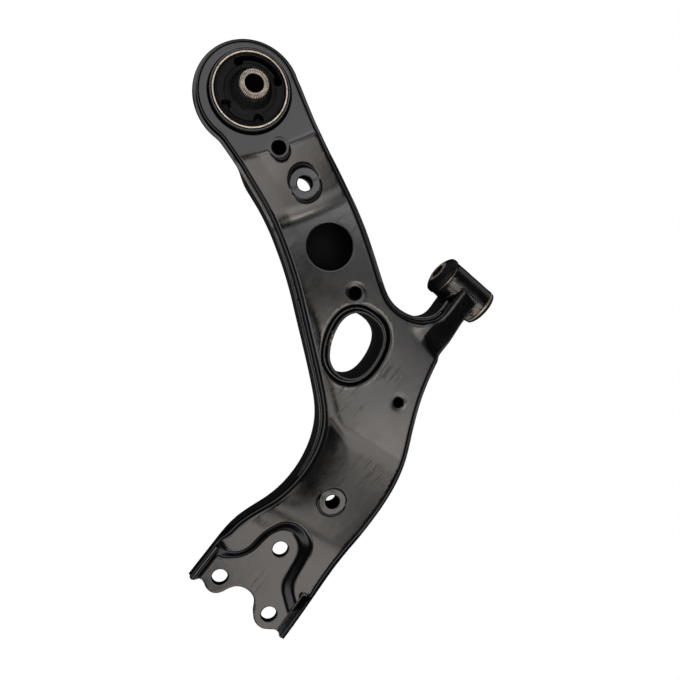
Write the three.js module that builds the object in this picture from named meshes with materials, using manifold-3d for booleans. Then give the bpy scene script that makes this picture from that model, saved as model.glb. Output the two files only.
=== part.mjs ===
// Front lower control arm, pressed-steel box section, with its two bushings.
// Millimetres, +Z up out of the upper panel. The arm is drawn on the rear bush
// axis as (0, 0): +Y runs along the pivot axis from the rear bush to the front
// bush, +X runs outboard to the ball-joint seat. The whole group is then moved
// so that its origin is the centre of the bottom of its bounding box.
import * as THREE from 'three';
import { mergeVertices } from 'three/addons/utils/BufferGeometryUtils.js';
import Module from 'manifold-3d';

const wasm = await Module();
wasm.setup();

// ---------------------------------------------------------------- dimensions
const SHEET = 3.0;            // pressed sheet thickness
const GAP = 0.3;              // clearance kept between separate pieces
const TOP_MAIN = 40;          // upper face of the upper panel, middle of the arm
const TOP_REAR = 56;          // the same around the rear bush
const TOP_SEAT = 14.5;        // the same beside the ball-joint seat
const TOP_NECK = 42.4;        // the same where it lands on the front bush housing
const FLOOR_REAR = 12;        // underside of the lower panel around the rear bush
const SEAT_TOP = 6.3;         // upper face of the ball-joint plate
const TRAY_DROP = 9;          // upper panel face to the lower panel's top edge
const TRAY_DROP_SEAT = 5;     // the same beside the seat
const LID_WALL = 24;          // depth of the upper panel's side walls

const RAMP_DIR = [0.51, 0.86];          // plan direction of the rear ramp
const RAMP_START = 46, RAMP_END = 99.4; // along RAMP_DIR from the rear bush axis
const SLOPE_START = 166, SLOPE_END = 272; // outer slope, along +X
const NECK_START = 59, NECK_END = 4;    // neck slope, along X

const REAR = { z0: 8.5, z1: 61.5, collarR: 31.8, collarBore: 30.1, sleeveR: 29.8, sleeveBore: 28.2,
  sleeveZ0: 9.3, sleeveZ1: 62.0, innerR: 11.5, innerBore: 7.25, innerLen: 62, tilt: 9, midZ: 35.25 };
const FRONT = { y: 252.6, z: 21.3, housingR: 17.7, housingBore: 15.6, housingLen: 40, sleeveR: 15.3,
  sleeveBore: 14.0, sleeveLen: 45, flangeR: 17.9, flangeT: 2.4, innerR: 10.6, innerBore: 6.5, innerLen: 62,
  lipR: 18.6, lipInset: 3.2 };

const OVAL_WALL = 2.2;        // oval tube wall
const OVAL_Z0 = 0, OVAL_Z1 = 42.2;
const WELD_SLOT = 3.7;        // gap round the oval tube that its weld beads fill
const BEAD_R = 1.35;          // radius of the simple bead solids
const BEAD_OFF = BEAD_R + GAP;

// ------------------------------------------------------------- plan outlines
// lower panel, outside face of its walls; open at the seat end and at the neck
const SIDE_OUT = [ // from the rear round end along the outboard flank to the seat
  [44.6, 4], [47, 13], [49.7, 22.5], [52.4, 31.8], [55.2, 41], [58.2, 50.4], [61.3, 60], [65, 69.5],
  [69.4, 79], [74.4, 88.3], [79.8, 97.4], [85.4, 106.6], [91.3, 115.6], [97.5, 124.4], [104, 133.2],
  [117.5, 150.5], [131.1, 168.1], [145, 185.8], [152.1, 194.5], [159.4, 203.2], [167.2, 211.5],
  [176, 218.9], [185.8, 224.8], [196.1, 229.3], [206.9, 232.5], [218, 234.6], [229.1, 235.5],
  [240.3, 235.2], [251.2, 233.7], [261.9, 231], [272.2, 227.2], [282.4, 223.3], [292.8, 220.1],
  [303.5, 218.3], [314.3, 217.7], [336, 217.7], [400, 217.7]];
const SIDE_FWD = [ // seat back to the neck, forward flank
  [400, 329.5], [353.8, 329.2], [331.4, 328.4], [309, 327.2], [286.5, 326], [263.6, 325.5],
  [251.8, 325.2], [240.1, 324.7], [228.4, 323.8], [216.9, 322.6], [205.4, 321.1], [194, 319.1],
  [182.7, 316.5], [171.7, 313.2], [161.1, 309.3], [150.7, 305], [140.7, 300.2], [130.9, 295.2],
  [120.8, 290.5], [110.7, 286], [100.4, 282], [89.9, 278.6], [79.2, 275.7], [68.5, 273.2],
  [57.5, 271.3], [46.5, 269.8], [35.6, 268.4], [24, 266.8], [-40, 266.8]];
const SIDE_IN = [ // neck, round the hook, and along the inboard flank to the rear round end
  [-40, 242], [20, 242], [26.5, 242.8], [33.5, 242.2], [40, 238.8], [45.5, 232.5], [49.3, 224.5],
  [51.3, 216], [51.5, 207.5], [49.8, 199.5], [46.3, 192], [42, 184.9], [37.6, 177.8], [32.3, 169.6],
  [26.8, 160.8], [21.4, 152], [16.3, 143.2], [11.5, 134.2], [7, 125.2], [2.9, 116], [-0.8, 106.6],
  [-4.1, 97.2], [-7.2, 87.8], [-10.1, 78.7], [-13.2, 69.8], [-16.5, 61], [-20.4, 52.4], [-24.7, 44],
  [-29, 35.7], [-33.4, 27.4], [-37.4, 19.2]];
const REAR_END = { c: [1, -1], r: 43.8 };
const END_CUT = [ // outer end of both panels round the ball-joint seat
  [-200, -200], [361, -200], [361, 229], [361.8, 233.5], [363, 238.5], [363.1, 244.5], [361.2, 249.6],
  [357, 253.3], [351.8, 255.9], [347, 259.6], [343.9, 264.8], [342.9, 270.8], [343.7, 277],
  [346.6, 282.4], [351.8, 286.8], [357.8, 290.4], [362.4, 295], [365, 300.8], [365, 307], [362.6, 312.4],
  [360.4, 317.5], [361, 324], [361, 400], [-200, 400]];
const SEAT = [ // foot of the step round the ball-joint plate
  [400, 230], [335, 230.4], [328.5, 239.4], [321.1, 247.8], [309.9, 252.6], [296.7, 254], [287, 256.4],
  [279.6, 262.4], [276, 271.4], [278.6, 281], [286, 288.2], [297, 291.2], [308, 292.2], [318, 295],
  [326, 302], [333, 311.5], [338, 317.6], [400, 318.4]];
const SEAT_HOLES = [[295, 272.8], [347.5, 242.7], [351, 303.5]];
const SEAT_HOLE_R = 7.5;
const OVAL = [ // inside face of the oval tube
  [75.3, 199], [76.2, 190], [79.6, 183], [86, 178.3], [94, 176.6], [103, 177.6], [112, 180.4], [120.5, 184.6],
  [127.3, 190.3], [131, 198], [131.5, 205.5], [129.5, 212.5], [125, 217.8], [118.5, 221.2], [110.5, 222.4],
  [102, 222], [93.8, 220.4], [86.5, 217.7], [80.3, 213], [76.5, 206.5]];
const BIG_HOLE = { c: [50.6, 128], r: 20.2 };
const DRAWN_HOLE = { c: [18.3, 44.2], r: 5.6, pad: 8.2, z: 55.2 };
const HOLE_2 = { c: [67.4, 170.9], r: 5.6 };
const HOLE_3 = { c: [118.5, 264], r: 4.6 };
const PAD_1 = { c: [24.7, 78.1], r: 13.0, hole: 6.5, z: 46.2 };
const PAD_2 = { c: [227.2, 277.4], r: 12.4, hole: 6.5, z: 26.2 };

// ------------------------------------------------------------------ plumbing
const V = (x, y) => new THREE.Vector2(x, y);
const rad = (d) => d * Math.PI / 180;

function toManifold(geometry) {
  let g = geometry.index ? geometry.toNonIndexed() : geometry.clone();
  for (const name of Object.keys(g.attributes)) if (name !== 'position') g.deleteAttribute(name);
  g = mergeVertices(g, 1e-4);
  return new wasm.Manifold(new wasm.Mesh({ numProp: 3,
    vertProperties: new Float32Array(g.attributes.position.array), triVerts: new Uint32Array(g.index.array) }));
}
function toGeometry(m) {
  const mesh = m.getMesh();
  const g = new THREE.BufferGeometry();
  g.setAttribute('position', new THREE.BufferAttribute(Float32Array.from(mesh.vertProperties), 3));
  g.setIndex(new THREE.BufferAttribute(Uint32Array.from(mesh.triVerts), 1));
  g.computeVertexNormals();
  return g;
}
function shapeOf(pts) {
  let p = pts.map((q) => V(q[0], q[1]));
  if (THREE.ShapeUtils.isClockWise(p)) p.reverse();
  return new THREE.Shape(p);
}
const prism = (pts, z0, z1) => toManifold(new THREE.ExtrudeGeometry(shapeOf(pts), { depth: z1 - z0, bevelEnabled: false })
  .applyMatrix4(new THREE.Matrix4().makeTranslation(0, 0, z0)));
const circle = (c, r, n = 40) => Array.from({ length: n }, (_, i) =>
  [c[0] + r * Math.cos(2 * Math.PI * i / n), c[1] + r * Math.sin(2 * Math.PI * i / n)]);
const post = (c, r, z0, z1, n = 40) => prism(circle(c, r, n), z0, z1);

// solid of a profile (u, z) that runs straight across the arm, u measured along dir
function band(profile, dir) {
  const g = new THREE.ExtrudeGeometry(shapeOf(profile), { depth: 1600, bevelEnabled: false });
  const u = new THREE.Vector3(dir[0], dir[1], 0).normalize();
  const w = new THREE.Vector3(0, 0, 1);
  const n = new THREE.Vector3().crossVectors(u, w);
  const m = new THREE.Matrix4().makeBasis(u, w, n);
  g.applyMatrix4(new THREE.Matrix4().makeTranslation(0, 0, -800));
  g.applyMatrix4(m);
  return toManifold(g);
}
// lathe about an axis through base along dir; profile is [r, h] pairs, closed on itself
function lathe(profile, base, quaternion, n = 48) {
  const pts = profile.map((p) => V(p[0], p[1]));
  pts.push(pts[0].clone());
  const g = new THREE.LatheGeometry(pts, n);
  g.rotateX(Math.PI / 2);                       // lathe axis to +Z
  if (quaternion) g.applyQuaternion(quaternion);
  g.translate(base[0], base[1], base[2]);
  let m = toManifold(g);
  if (m.volume() < 0) { const idx = g.index; for (let i = 0; i < idx.count; i += 3) { const a = idx.getX(i); idx.setX(i, idx.getX(i + 2)); idx.setX(i + 2, a); } m = toManifold(g); }
  return m;
}
const ALONG_Y = new THREE.Quaternion().setFromAxisAngle(new THREE.Vector3(1, 0, 0), -Math.PI / 2);
const TILT = new THREE.Quaternion().setFromAxisAngle(new THREE.Vector3(0, 1, 0), -rad(REAR.tilt));

// move each point of a closed outline along its mitred inward normal
function offset(pts, d) {
  const n = pts.length;
  let area = 0;
  for (let i = 0; i < n; i++) { const a = pts[i], b = pts[(i + 1) % n]; area += a[0] * b[1] - b[0] * a[1]; }
  const s = area > 0 ? 1 : -1;
  return pts.map((p, i) => {
    const a = pts[(i + n - 1) % n], b = pts[(i + 1) % n];
    const e1 = [p[0] - a[0], p[1] - a[1]], e2 = [b[0] - p[0], b[1] - p[1]];
    const l1 = Math.hypot(...e1), l2 = Math.hypot(...e2);
    const n1 = [-e1[1] / l1 * s, e1[0] / l1 * s], n2 = [-e2[1] / l2 * s, e2[0] / l2 * s];
    const m = [n1[0] + n2[0], n1[1] + n2[1]];
    const k = d * 2 / (m[0] * m[0] + m[1] * m[1]);
    return [p[0] + m[0] * k, p[1] + m[1] * k];
  });
}

// --------------------------------------------------------------- the outline
const rearArc = [];
for (let a = 153.5; a <= 364; a += 10.5) rearArc.push([REAR_END.c[0] + REAR_END.r * Math.cos(rad(a)), REAR_END.c[1] + REAR_END.r * Math.sin(rad(a))]);
const OUTLINE = [...SIDE_OUT, ...SIDE_FWD, ...SIDE_IN, ...rearArc];

// -------------------------------------------------------- height envelopes
// everything under a face that follows the arm's ramps, lowered by d
function under(d, seatDrop = d) {
  const rear = band([[-400, -60], [-400, TOP_REAR - d], [RAMP_START, TOP_REAR - d], [RAMP_END, TOP_MAIN - d], [900, TOP_MAIN - d], [900, -60]], RAMP_DIR);
  const outer = band([[-400, -60], [-400, 140], [110, 140], [SLOPE_START, TOP_MAIN - d], [SLOPE_END, TOP_SEAT - seatDrop], [900, TOP_SEAT - seatDrop], [900, -60]], [1, 0]);
  const neck = band([[-100, -60], [-100, TOP_NECK - d + 0.0], [NECK_END, TOP_NECK - d], [NECK_START, TOP_MAIN - d], [NECK_START, -60]], [1, 0])
    .intersect(prism([[-100, 226], [NECK_START + 1, 226], [NECK_START + 1, 300], [-100, 300]], -70, 150));
  return rear.intersect(outer).add(neck);
}
// everything above the lower panel's underside, raised by d
const above = (d) => band([[-400, 140], [-400, FLOOR_REAR + d], [RAMP_START, FLOOR_REAR + d], [RAMP_END, d], [900, d], [900, 140]], RAMP_DIR);

// ------------------------------------------------------------------- cutters
const housingClear = lathe([[0.001, -60], [FRONT.housingR + GAP, -60], [FRONT.housingR + GAP, 60], [0.001, 60]], [0, FRONT.y, FRONT.z], ALONG_Y, 48);
const collarClear = post([0, 0], REAR.collarR + GAP, -20, 100, 60);
const endKeep = prism(END_CUT, -50, 150);
const neckKeep = prism([[4, -200], [900, -200], [900, 900], [4, 900]], -50, 150)
  .add(prism([[-200, -200], [900, -200], [900, 200], [-200, 200]], -50, 150));
const ovalOuter = offset(OVAL, -OVAL_WALL);
const seatHoles = SEAT_HOLES.map((c) => post(c, SEAT_HOLE_R, -5, 20, 32));

function trim(m) {
  let r = m.intersect(endKeep).intersect(neckKeep).subtract(housingClear).subtract(collarClear);
  for (const h of seatHoles) r = r.subtract(h);
  return r;
}

// --------------------------------------------------------------- lower panel
function lowerPanel() {
  const outer = prism(OUTLINE, -20, 120).intersect(above(0)).intersect(under(TRAY_DROP, TRAY_DROP_SEAT));
  const inner = prism(offset(OUTLINE, SHEET), -20, 120).intersect(above(SHEET));
  return trim(outer.subtract(inner)).subtract(prism(offset(ovalOuter, -WELD_SLOT), -20, 20));
}
// --------------------------------------------------------------- upper panel
function upperPanel() {
  let outer = prism(offset(OUTLINE, SHEET + GAP), -20, 120).intersect(under(0));
  let inner = prism(offset(OUTLINE, SHEET * 2 + GAP), -20, 120).intersect(under(SHEET));
  for (const p of [PAD_1, PAD_2]) {
    outer = outer.subtract(post(p.c, p.r, p.z, 120)).add(post(p.c, p.r, p.z - 12, p.z));
    inner = inner.subtract(post(p.c, p.r + SHEET, p.z - SHEET, 120)).add(post(p.c, p.r - SHEET, p.z - 16, p.z - SHEET));
  }
  outer = outer.subtract(prism(SEAT, SEAT_TOP, 120));
  inner = inner.subtract(prism(offset(SEAT, -SHEET), SEAT_TOP - SHEET, 120));
  // side walls stop short of the lower panel's floor
  const d = SHEET + GAP;
  const walls = band([[-400, 140], [-400, TOP_REAR - LID_WALL], [RAMP_START, TOP_REAR - LID_WALL], [RAMP_END, TOP_MAIN - LID_WALL],
    [SLOPE_START * 1.0 + 60, TOP_MAIN - LID_WALL], [330, d], [900, d], [900, 140]], RAMP_DIR).intersect(above(d));
  let m = outer.subtract(inner).intersect(walls);
  m = trim(m);
  for (const h of [BIG_HOLE, DRAWN_HOLE, HOLE_2, HOLE_3]) m = m.subtract(post(h.c, h.r, 20, 100, 36));
  for (const p of [PAD_1, PAD_2]) m = m.subtract(post(p.c, p.hole, 8, 100, 32));
  return m.subtract(prism(offset(ovalOuter, -WELD_SLOT), -20, 80));
}
// --------------------------------------------------------------- oval tube
const ovalTube = () => prism(ovalOuter, OVAL_Z0, OVAL_Z1).subtract(prism(OVAL, -10, 80));

// --------------------------------------------------------------- rear bush
const rearCollar = () => lathe([[REAR.collarBore, REAR.z0], [REAR.collarR, REAR.z0], [REAR.collarR, REAR.z1], [REAR.collarBore, REAR.z1]], [0, 0, 0], null, 60);
const rearOuter = () => lathe([[REAR.sleeveBore, REAR.sleeveZ0], [REAR.sleeveR, REAR.sleeveZ0], [REAR.sleeveR, REAR.sleeveZ1], [REAR.sleeveBore, REAR.sleeveZ1]], [0, 0, 0], null, 60);
const rearInner = () => { const h = REAR.innerLen / 2;
  return lathe([[REAR.innerBore, -h + 1], [REAR.innerBore + 1, -h], [REAR.innerR - 0.6, -h], [REAR.innerR, -h + 0.6], [REAR.innerR, h - 0.6], [REAR.innerR - 0.6, h], [REAR.innerBore + 1, h], [REAR.innerBore, h - 1]],
    [0, 0, REAR.midZ], TILT, 40); };
function crescent(r0, r1, a0, a1, n = 10) {
  const p = [];
  for (let i = 0; i <= n; i++) { const a = rad(a0 + (a1 - a0) * i / n); p.push([r1 * Math.cos(a), r1 * Math.sin(a)]); }
  for (let i = n; i >= 0; i--) { const a = rad(a0 + (a1 - a0) * i / n); p.push([r0 * Math.cos(a), r0 * Math.sin(a)]); }
  return p;
}
function rearRubber() {
  const R = REAR.sleeveBore - 0.05, z0 = REAR.sleeveZ0 + 2, z1 = REAR.sleeveZ1 - 3;
  let m = lathe([[6, z0 - 0.5], [17, z0 - 0.5], [R, z0 + 1.5], [R, z1 - 1.5], [17, z1 + 0.5], [6, z1 + 0.5]], [0, 0, 0], null, 48);
  const h = REAR.innerLen / 2 + 10;
  m = m.subtract(lathe([[0.001, -h], [REAR.innerR + 0.1, -h], [REAR.innerR + 0.1, h], [0.001, h]], [0, 0, REAR.midZ], TILT, 40));
  m = m.subtract(prism(crescent(20.6, 25.6, 146, 245), 0, 80));   // inboard void
  m = m.subtract(prism(crescent(21.2, 25.2, -26, 61), 0, 80));    // outboard void
  return m;
}
// --------------------------------------------------------------- front bush
const fb = (p, n = 44) => lathe(p, [0, FRONT.y, FRONT.z], ALONG_Y, n);
const frontHousing = () => { const h = FRONT.housingLen / 2; return fb([[FRONT.housingBore, -h], [FRONT.housingR, -h], [FRONT.housingR, h], [FRONT.housingBore, h]], 48); };
const frontOuter = () => { const h0 = -FRONT.sleeveLen / 2 + 1, h = FRONT.housingLen / 2 + GAP, t = FRONT.flangeT;
  return fb([[FRONT.sleeveBore, h0], [FRONT.sleeveR, h0], [FRONT.sleeveR, h], [FRONT.flangeR, h], [FRONT.flangeR, h + t], [FRONT.sleeveBore, h + t]], 48); };
function frontRubber() {
  const i = FRONT.innerR + 0.1, o = FRONT.sleeveBore - 0.1, h = FRONT.housingLen / 2, L = FRONT.innerLen / 2 - FRONT.lipInset, r = FRONT.lipR;
  const a = h + GAP + FRONT.flangeT + GAP;                  // outside face of the flange
  const b = FRONT.sleeveLen / 2 - 1 + GAP;                  // outside end of the outer sleeve
  return fb([[i, -L + 1.2], [i + 2.6, -L], [r - 1.6, -L + 1.2], [r, -L + 3], [r - 0.6, -b], [o, -b],
    [o, a], [r - 1.4, a], [r - 1.6, L - 1.6], [i + 2.6, L], [i, L - 1.2]], 36);
}
const frontInner = () => { const h = FRONT.innerLen / 2;
  return fb([[FRONT.innerBore, -h + 0.8], [FRONT.innerBore + 0.8, -h], [FRONT.innerR - 0.5, -h], [FRONT.innerR, -h + 0.5], [FRONT.innerR, h - 0.5], [FRONT.innerR - 0.5, h], [FRONT.innerBore + 0.8, h], [FRONT.innerBore, h - 0.8]], 36); };

// --------------------------------------------------------------- weld beads
// a bead swept along a path, with a six-sided section
function bead(points, r = BEAD_R, pitch = 7) {
  const curve = new THREE.CatmullRomCurve3(points.map((p) => new THREE.Vector3(...p)), false, 'centripetal');
  const n = Math.max(5, Math.round(curve.getLength() / pitch));
  const g = new THREE.ExtrudeGeometry(new THREE.Shape(Array.from({ length: 6 }, (_, i) => V(r * Math.cos(Math.PI * i / 3), r * Math.sin(Math.PI * i / 3)))),
    { steps: n, extrudePath: curve, bevelEnabled: false });
  let m = toManifold(g);
  if (m.volume() < 0) { const idx = g.index; m = null; }
  return m;
}
const clamp = (v, a, b) => Math.min(Math.max(v, a), b);
// height of the lower panel's top edge at a plan point
function edgeZ(x, y) {
  const s = (RAMP_DIR[0] * x + RAMP_DIR[1] * y) / Math.hypot(...RAMP_DIR);
  const t = clamp((s - RAMP_START) / (RAMP_END - RAMP_START), 0, 1);
  const v = clamp((x - SLOPE_START) / (SLOPE_END - SLOPE_START), 0, 1);
  let z = TOP_MAIN + (TOP_REAR - TOP_MAIN) * (1 - t) - (TOP_MAIN - TOP_SEAT) * v - (TRAY_DROP + (TRAY_DROP_SEAT - TRAY_DROP) * v);
  if (y > 226 && x < NECK_START) z += (TOP_NECK - TOP_MAIN) * clamp((NECK_START - x) / (NECK_START - NECK_END), 0, 1);
  return z;
}
// seam bead lying on the lower panel's top edge, against the upper panel's wall
const seam = (pts) => bead(pts.map((p) => [p[0], p[1], edgeZ(p[0], p[1]) + BEAD_OFF + 0.15]));
const inset = offset(OUTLINE, 1.5);
const run = (a, b) => { // stretch of the outline between two of its points
  const at = (q) => OUTLINE.findIndex((p) => p[0] === q[0] && p[1] === q[1]);
  return inset.slice(at(a), at(b) + 1);
};
// half ring round the front housing beside a neck wall, in the plane Y = y
function housingSide(y) {
  const R = FRONT.housingR + GAP + BEAD_R + 0.15, pts = [];
  for (let a = -46; a <= 34; a += 10) pts.push([R * Math.cos(rad(a)), y, FRONT.z + R * Math.sin(rad(a))]);
  return bead(pts, BEAD_R, 5);
}
function ovalBead(z) {
  const p = offset(ovalOuter, -(WELD_SLOT / 2));
  const open = [...p, [p[0][0] - 0.1, p[0][1] + 1.6]].map((q, i) => (i === 0 ? [q[0], q[1] - 0.2, z] : [q[0], q[1], z]));
  return bead(open, BEAD_R, 8);
}
const ringBead = (R, z) => { const p = []; for (let i = 0; i < 6; i++) p.push([R + BEAD_R * Math.cos(Math.PI * i / 3), z + BEAD_R * Math.sin(Math.PI * i / 3)]); return lathe(p, [0, 0, 0], null, 40); };

const root = new THREE.Group();
const mat = (color, roughness, metalness) => new THREE.MeshStandardMaterial({ color, roughness, metalness });
const PAINT = [0x17171a, 0.28, 0.25], RUBBER = [0x141415, 0.75, 0.0], STEEL = [0xa79d8c, 0.45, 0.8];
function put(name, m, look) {
  const mesh = new THREE.Mesh(toGeometry(m), mat(...look));
  mesh.name = name;
  root.add(mesh);
}
const pieces = {};
pieces.upper_panel = upperPanel();
pieces.lower_panel = lowerPanel();
pieces.oval_tube = ovalTube();
pieces.rear_bush_collar = rearCollar();
pieces.rear_bush_outer_sleeve = rearOuter();
pieces.rear_bush_rubber = rearRubber();
pieces.rear_bush_inner_sleeve = rearInner();
pieces.front_bush_housing = frontHousing();
pieces.front_bush_outer_sleeve = frontOuter();
pieces.front_bush_rubber = frontRubber();
pieces.front_bush_inner_sleeve = frontInner();

pieces.seam_weld_outboard = seam(run([104, 133.2], [229.1, 235.5]));
pieces.seam_weld_forward = seam(run([240.1, 324.7], [120.8, 290.5]));
pieces.seam_weld_hook = seam(run([26.5, 242.8], [42, 184.9]));
pieces.seam_weld_inboard = seam(run([26.8, 160.8], [-10.1, 78.7]));
pieces.front_housing_weld_upper = bead([[2.1, 244, FRONT.z + FRONT.housingR + BEAD_OFF], [2.1, 254, FRONT.z + FRONT.housingR + BEAD_OFF], [2.1, 265, FRONT.z + FRONT.housingR + BEAD_OFF]]);
pieces.front_housing_weld_lower = bead([[2.1, 244, FRONT.z - FRONT.housingR - BEAD_OFF], [2.1, 254, FRONT.z - FRONT.housingR - BEAD_OFF], [2.1, 265, FRONT.z - FRONT.housingR - BEAD_OFF]]);
pieces.front_housing_weld_rear = housingSide(242 - BEAD_OFF - 0.1);
pieces.front_housing_weld_forward = housingSide(266.8 + BEAD_OFF + 0.1);
pieces.rear_collar_weld = ringBead(REAR.collarR + BEAD_OFF, FLOOR_REAR - BEAD_OFF);
pieces.oval_weld_upper = ovalBead(TOP_MAIN - 1.8);
pieces.oval_weld_lower = ovalBead(1.7);

const LOOK = { rear_bush_outer_sleeve: STEEL, rear_bush_inner_sleeve: STEEL, front_bush_outer_sleeve: STEEL, front_bush_inner_sleeve: STEEL,
  rear_bush_rubber: RUBBER, front_bush_rubber: RUBBER };
for (const [name, m] of Object.entries(pieces)) put(name, m, LOOK[name] || PAINT);

// origin: centre of the bottom of the bounding box
root.updateMatrixWorld(true);
const box = new THREE.Box3().setFromObject(root);
root.position.set(-(box.min.x + box.max.x) / 2, -(box.min.y + box.max.y) / 2, -box.min.z);
root.updateMatrixWorld(true);

export default root;
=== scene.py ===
# Looks of the control arm: fine pressed panels, bushes, welds and paint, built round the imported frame.
import math

import bmesh
import bpy
import numpy as np
from mathutils import Matrix, Vector
from mathutils.geometry import delaunay_2d_cdt


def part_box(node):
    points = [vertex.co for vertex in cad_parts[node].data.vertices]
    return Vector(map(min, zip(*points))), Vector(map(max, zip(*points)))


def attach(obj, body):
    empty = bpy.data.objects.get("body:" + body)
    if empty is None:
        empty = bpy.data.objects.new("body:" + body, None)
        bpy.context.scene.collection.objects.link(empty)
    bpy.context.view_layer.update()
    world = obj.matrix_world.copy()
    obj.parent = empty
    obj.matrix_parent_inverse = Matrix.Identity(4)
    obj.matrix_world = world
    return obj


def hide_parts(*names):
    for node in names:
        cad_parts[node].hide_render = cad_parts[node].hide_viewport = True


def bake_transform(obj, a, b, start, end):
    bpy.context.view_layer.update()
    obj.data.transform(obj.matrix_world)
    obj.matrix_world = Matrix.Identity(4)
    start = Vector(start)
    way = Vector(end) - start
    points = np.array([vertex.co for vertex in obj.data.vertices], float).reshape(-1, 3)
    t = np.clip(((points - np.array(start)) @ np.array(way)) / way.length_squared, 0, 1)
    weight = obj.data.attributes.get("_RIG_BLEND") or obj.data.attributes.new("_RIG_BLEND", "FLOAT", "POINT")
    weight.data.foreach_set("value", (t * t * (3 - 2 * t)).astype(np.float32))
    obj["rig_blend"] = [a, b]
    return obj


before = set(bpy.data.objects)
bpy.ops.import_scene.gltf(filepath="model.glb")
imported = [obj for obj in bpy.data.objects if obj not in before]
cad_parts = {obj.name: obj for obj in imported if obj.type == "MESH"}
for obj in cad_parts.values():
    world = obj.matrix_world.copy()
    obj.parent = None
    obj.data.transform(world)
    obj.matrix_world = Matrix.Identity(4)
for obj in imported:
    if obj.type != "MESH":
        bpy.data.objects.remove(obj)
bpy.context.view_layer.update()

rng = np.random.default_rng(7)

# ------------------------------------------------------------------ where the arm is
# The arm is drawn in millimetres on the rear bush axis: +X outboard, +Y to the front bush.
_lo, _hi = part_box("rear_bush_collar")
ORIGIN = np.array([(_lo.x + _hi.x) / 2, (_lo.y + _hi.y) / 2, _lo.z - 0.0085])


def to_row(p):
    return np.asarray(p, float) * 0.001 + ORIGIN


def row_point(x, y, z):
    return tuple(float(v) for v in to_row([x, y, z]))


# ------------------------------------------------------------------ numbers of the design
SHEET = 3.0
TOP_MAIN, TOP_REAR, TOP_SEAT = 40.0, 56.0, 14.5
FLOOR_REAR = 12.0
SEAT_TOP = 6.3
LID_IN = 3.3                      # lid's outer wall face, in from the tray's
SIDE_OUT = [
    [44.6, 4], [47, 13], [49.7, 22.5], [52.4, 31.8], [55.2, 41], [58.2, 50.4], [61.3, 60], [65, 69.5],
    [69.4, 79], [74.4, 88.3], [79.8, 97.4], [85.4, 106.6], [91.3, 115.6], [97.5, 124.4], [104, 133.2],
    [117.5, 150.5], [131.1, 168.1], [145, 185.8], [152.1, 194.5], [159.4, 203.2], [167.2, 211.5],
    [176, 218.9], [185.8, 224.8], [196.1, 229.3], [206.9, 232.5], [218, 234.6], [229.1, 235.5],
    [240.3, 235.2], [251.2, 233.7], [261.9, 231], [272.2, 227.2], [282.4, 223.3], [292.8, 220.1],
    [303.5, 218.3], [314.3, 217.7], [336, 217.7], [375, 217.7]]
SIDE_FWD = [
    [375, 329.3], [353.8, 329.2], [331.4, 328.4], [309, 327.2], [286.5, 326], [263.6, 325.5],
    [251.8, 325.2], [240.1, 324.7], [228.4, 323.8], [216.9, 322.6], [205.4, 321.1], [194, 319.1],
    [182.7, 316.5], [171.7, 313.2], [161.1, 309.3], [150.7, 305], [140.7, 300.2], [130.9, 295.2],
    [120.8, 290.5], [110.7, 286], [100.4, 282], [89.9, 278.6], [79.2, 275.7], [68.5, 273.2],
    [57.5, 271.3], [46.5, 269.8], [35.6, 268.4], [24, 267.0], [12, 266.6], [-6, 266.6]]
SIDE_IN = [
    [-6, 242.2], [12, 242.2], [20, 242.4], [26.5, 242.8], [33.5, 242.2], [40, 238.8], [45.5, 232.5], [49.3, 224.5],
    [51.3, 216], [51.5, 207.5], [49.8, 199.5], [46.3, 192], [42, 184.9], [37.6, 177.8], [32.3, 169.6],
    [26.8, 160.8], [21.4, 152], [16.3, 143.2], [11.5, 134.2], [7, 125.2], [2.9, 116], [-0.8, 106.6],
    [-4.1, 97.2], [-7.2, 87.8], [-10.1, 78.7], [-13.2, 69.8], [-16.5, 61], [-20.4, 52.4], [-24.7, 44],
    [-29, 35.7], [-33.4, 27.4], [-37.4, 19.2]]
REAR_C, REAR_R = (1.0, -1.0), 43.8
SEAT_HOLES = [(295, 272.8), (347.5, 242.7), (351, 303.5)]
SEAT_HOLE_R = 7.5
OVAL = [
    [75.3, 199], [76.2, 190], [79.6, 183], [86, 178.3], [94, 176.6], [103, 177.6], [112, 180.4], [120.5, 184.6],
    [127.3, 190.3], [131, 198], [131.5, 205.5], [129.5, 212.5], [125, 217.8], [118.5, 221.2], [110.5, 222.4],
    [102, 222], [93.8, 220.4], [86.5, 217.7], [80.3, 213], [76.5, 206.5]]
OVAL_WALL, WELD_SLOT = 2.2, 3.7
BIG_HOLE = (50.6, 128, 20.2)
DRAWN_HOLE = (18.3, 44.2, 5.6)
HOLE_2 = (67.4, 170.9, 5.6)
HOLE_3 = (118.5, 264, 4.6)
PAD_1 = dict(c=(24.7, 78.1), r=12.6, hole=6.5, z=46.2, k=1.5, low=10.9)
PAD_2 = dict(c=(227.2, 277.4), r=12.0, hole=6.5, z=26.2, k=1.5, low=7.8)
STEP_TOP = [(306, 205), (312, 217), (316.6, 225.5), (318.5, 231.0), (316.4, 237.2), (311.6, 241.4), (304.8, 243.9), (291.6, 245.5), (279.6, 249.4),
            (269.8, 255.1), (264.1, 264.2), (264.0, 278.0), (269.8, 291.0), (280.0, 297.8), (293.2, 300.0),
            (307.9, 302.1), (316.1, 305.9), (323.7, 314.8), (333, 327), (345, 342)]
STEP_FOOT = [(330, 190), (333.5, 212), (334.8, 224), (334.0, 231.5), (329.0, 239.4), (321.1, 248.0), (309.9, 253.6), (296.7, 255.6), (287.9, 257.8),
             (280.6, 263.1), (277.8, 272.0), (282.5, 282.4), (290.7, 287.6), (303.2, 289.9), (316.5, 292.4),
             (325.6, 297.8), (332.8, 306.4), (340.2, 316.4), (352, 333), (360, 344)]
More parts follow.
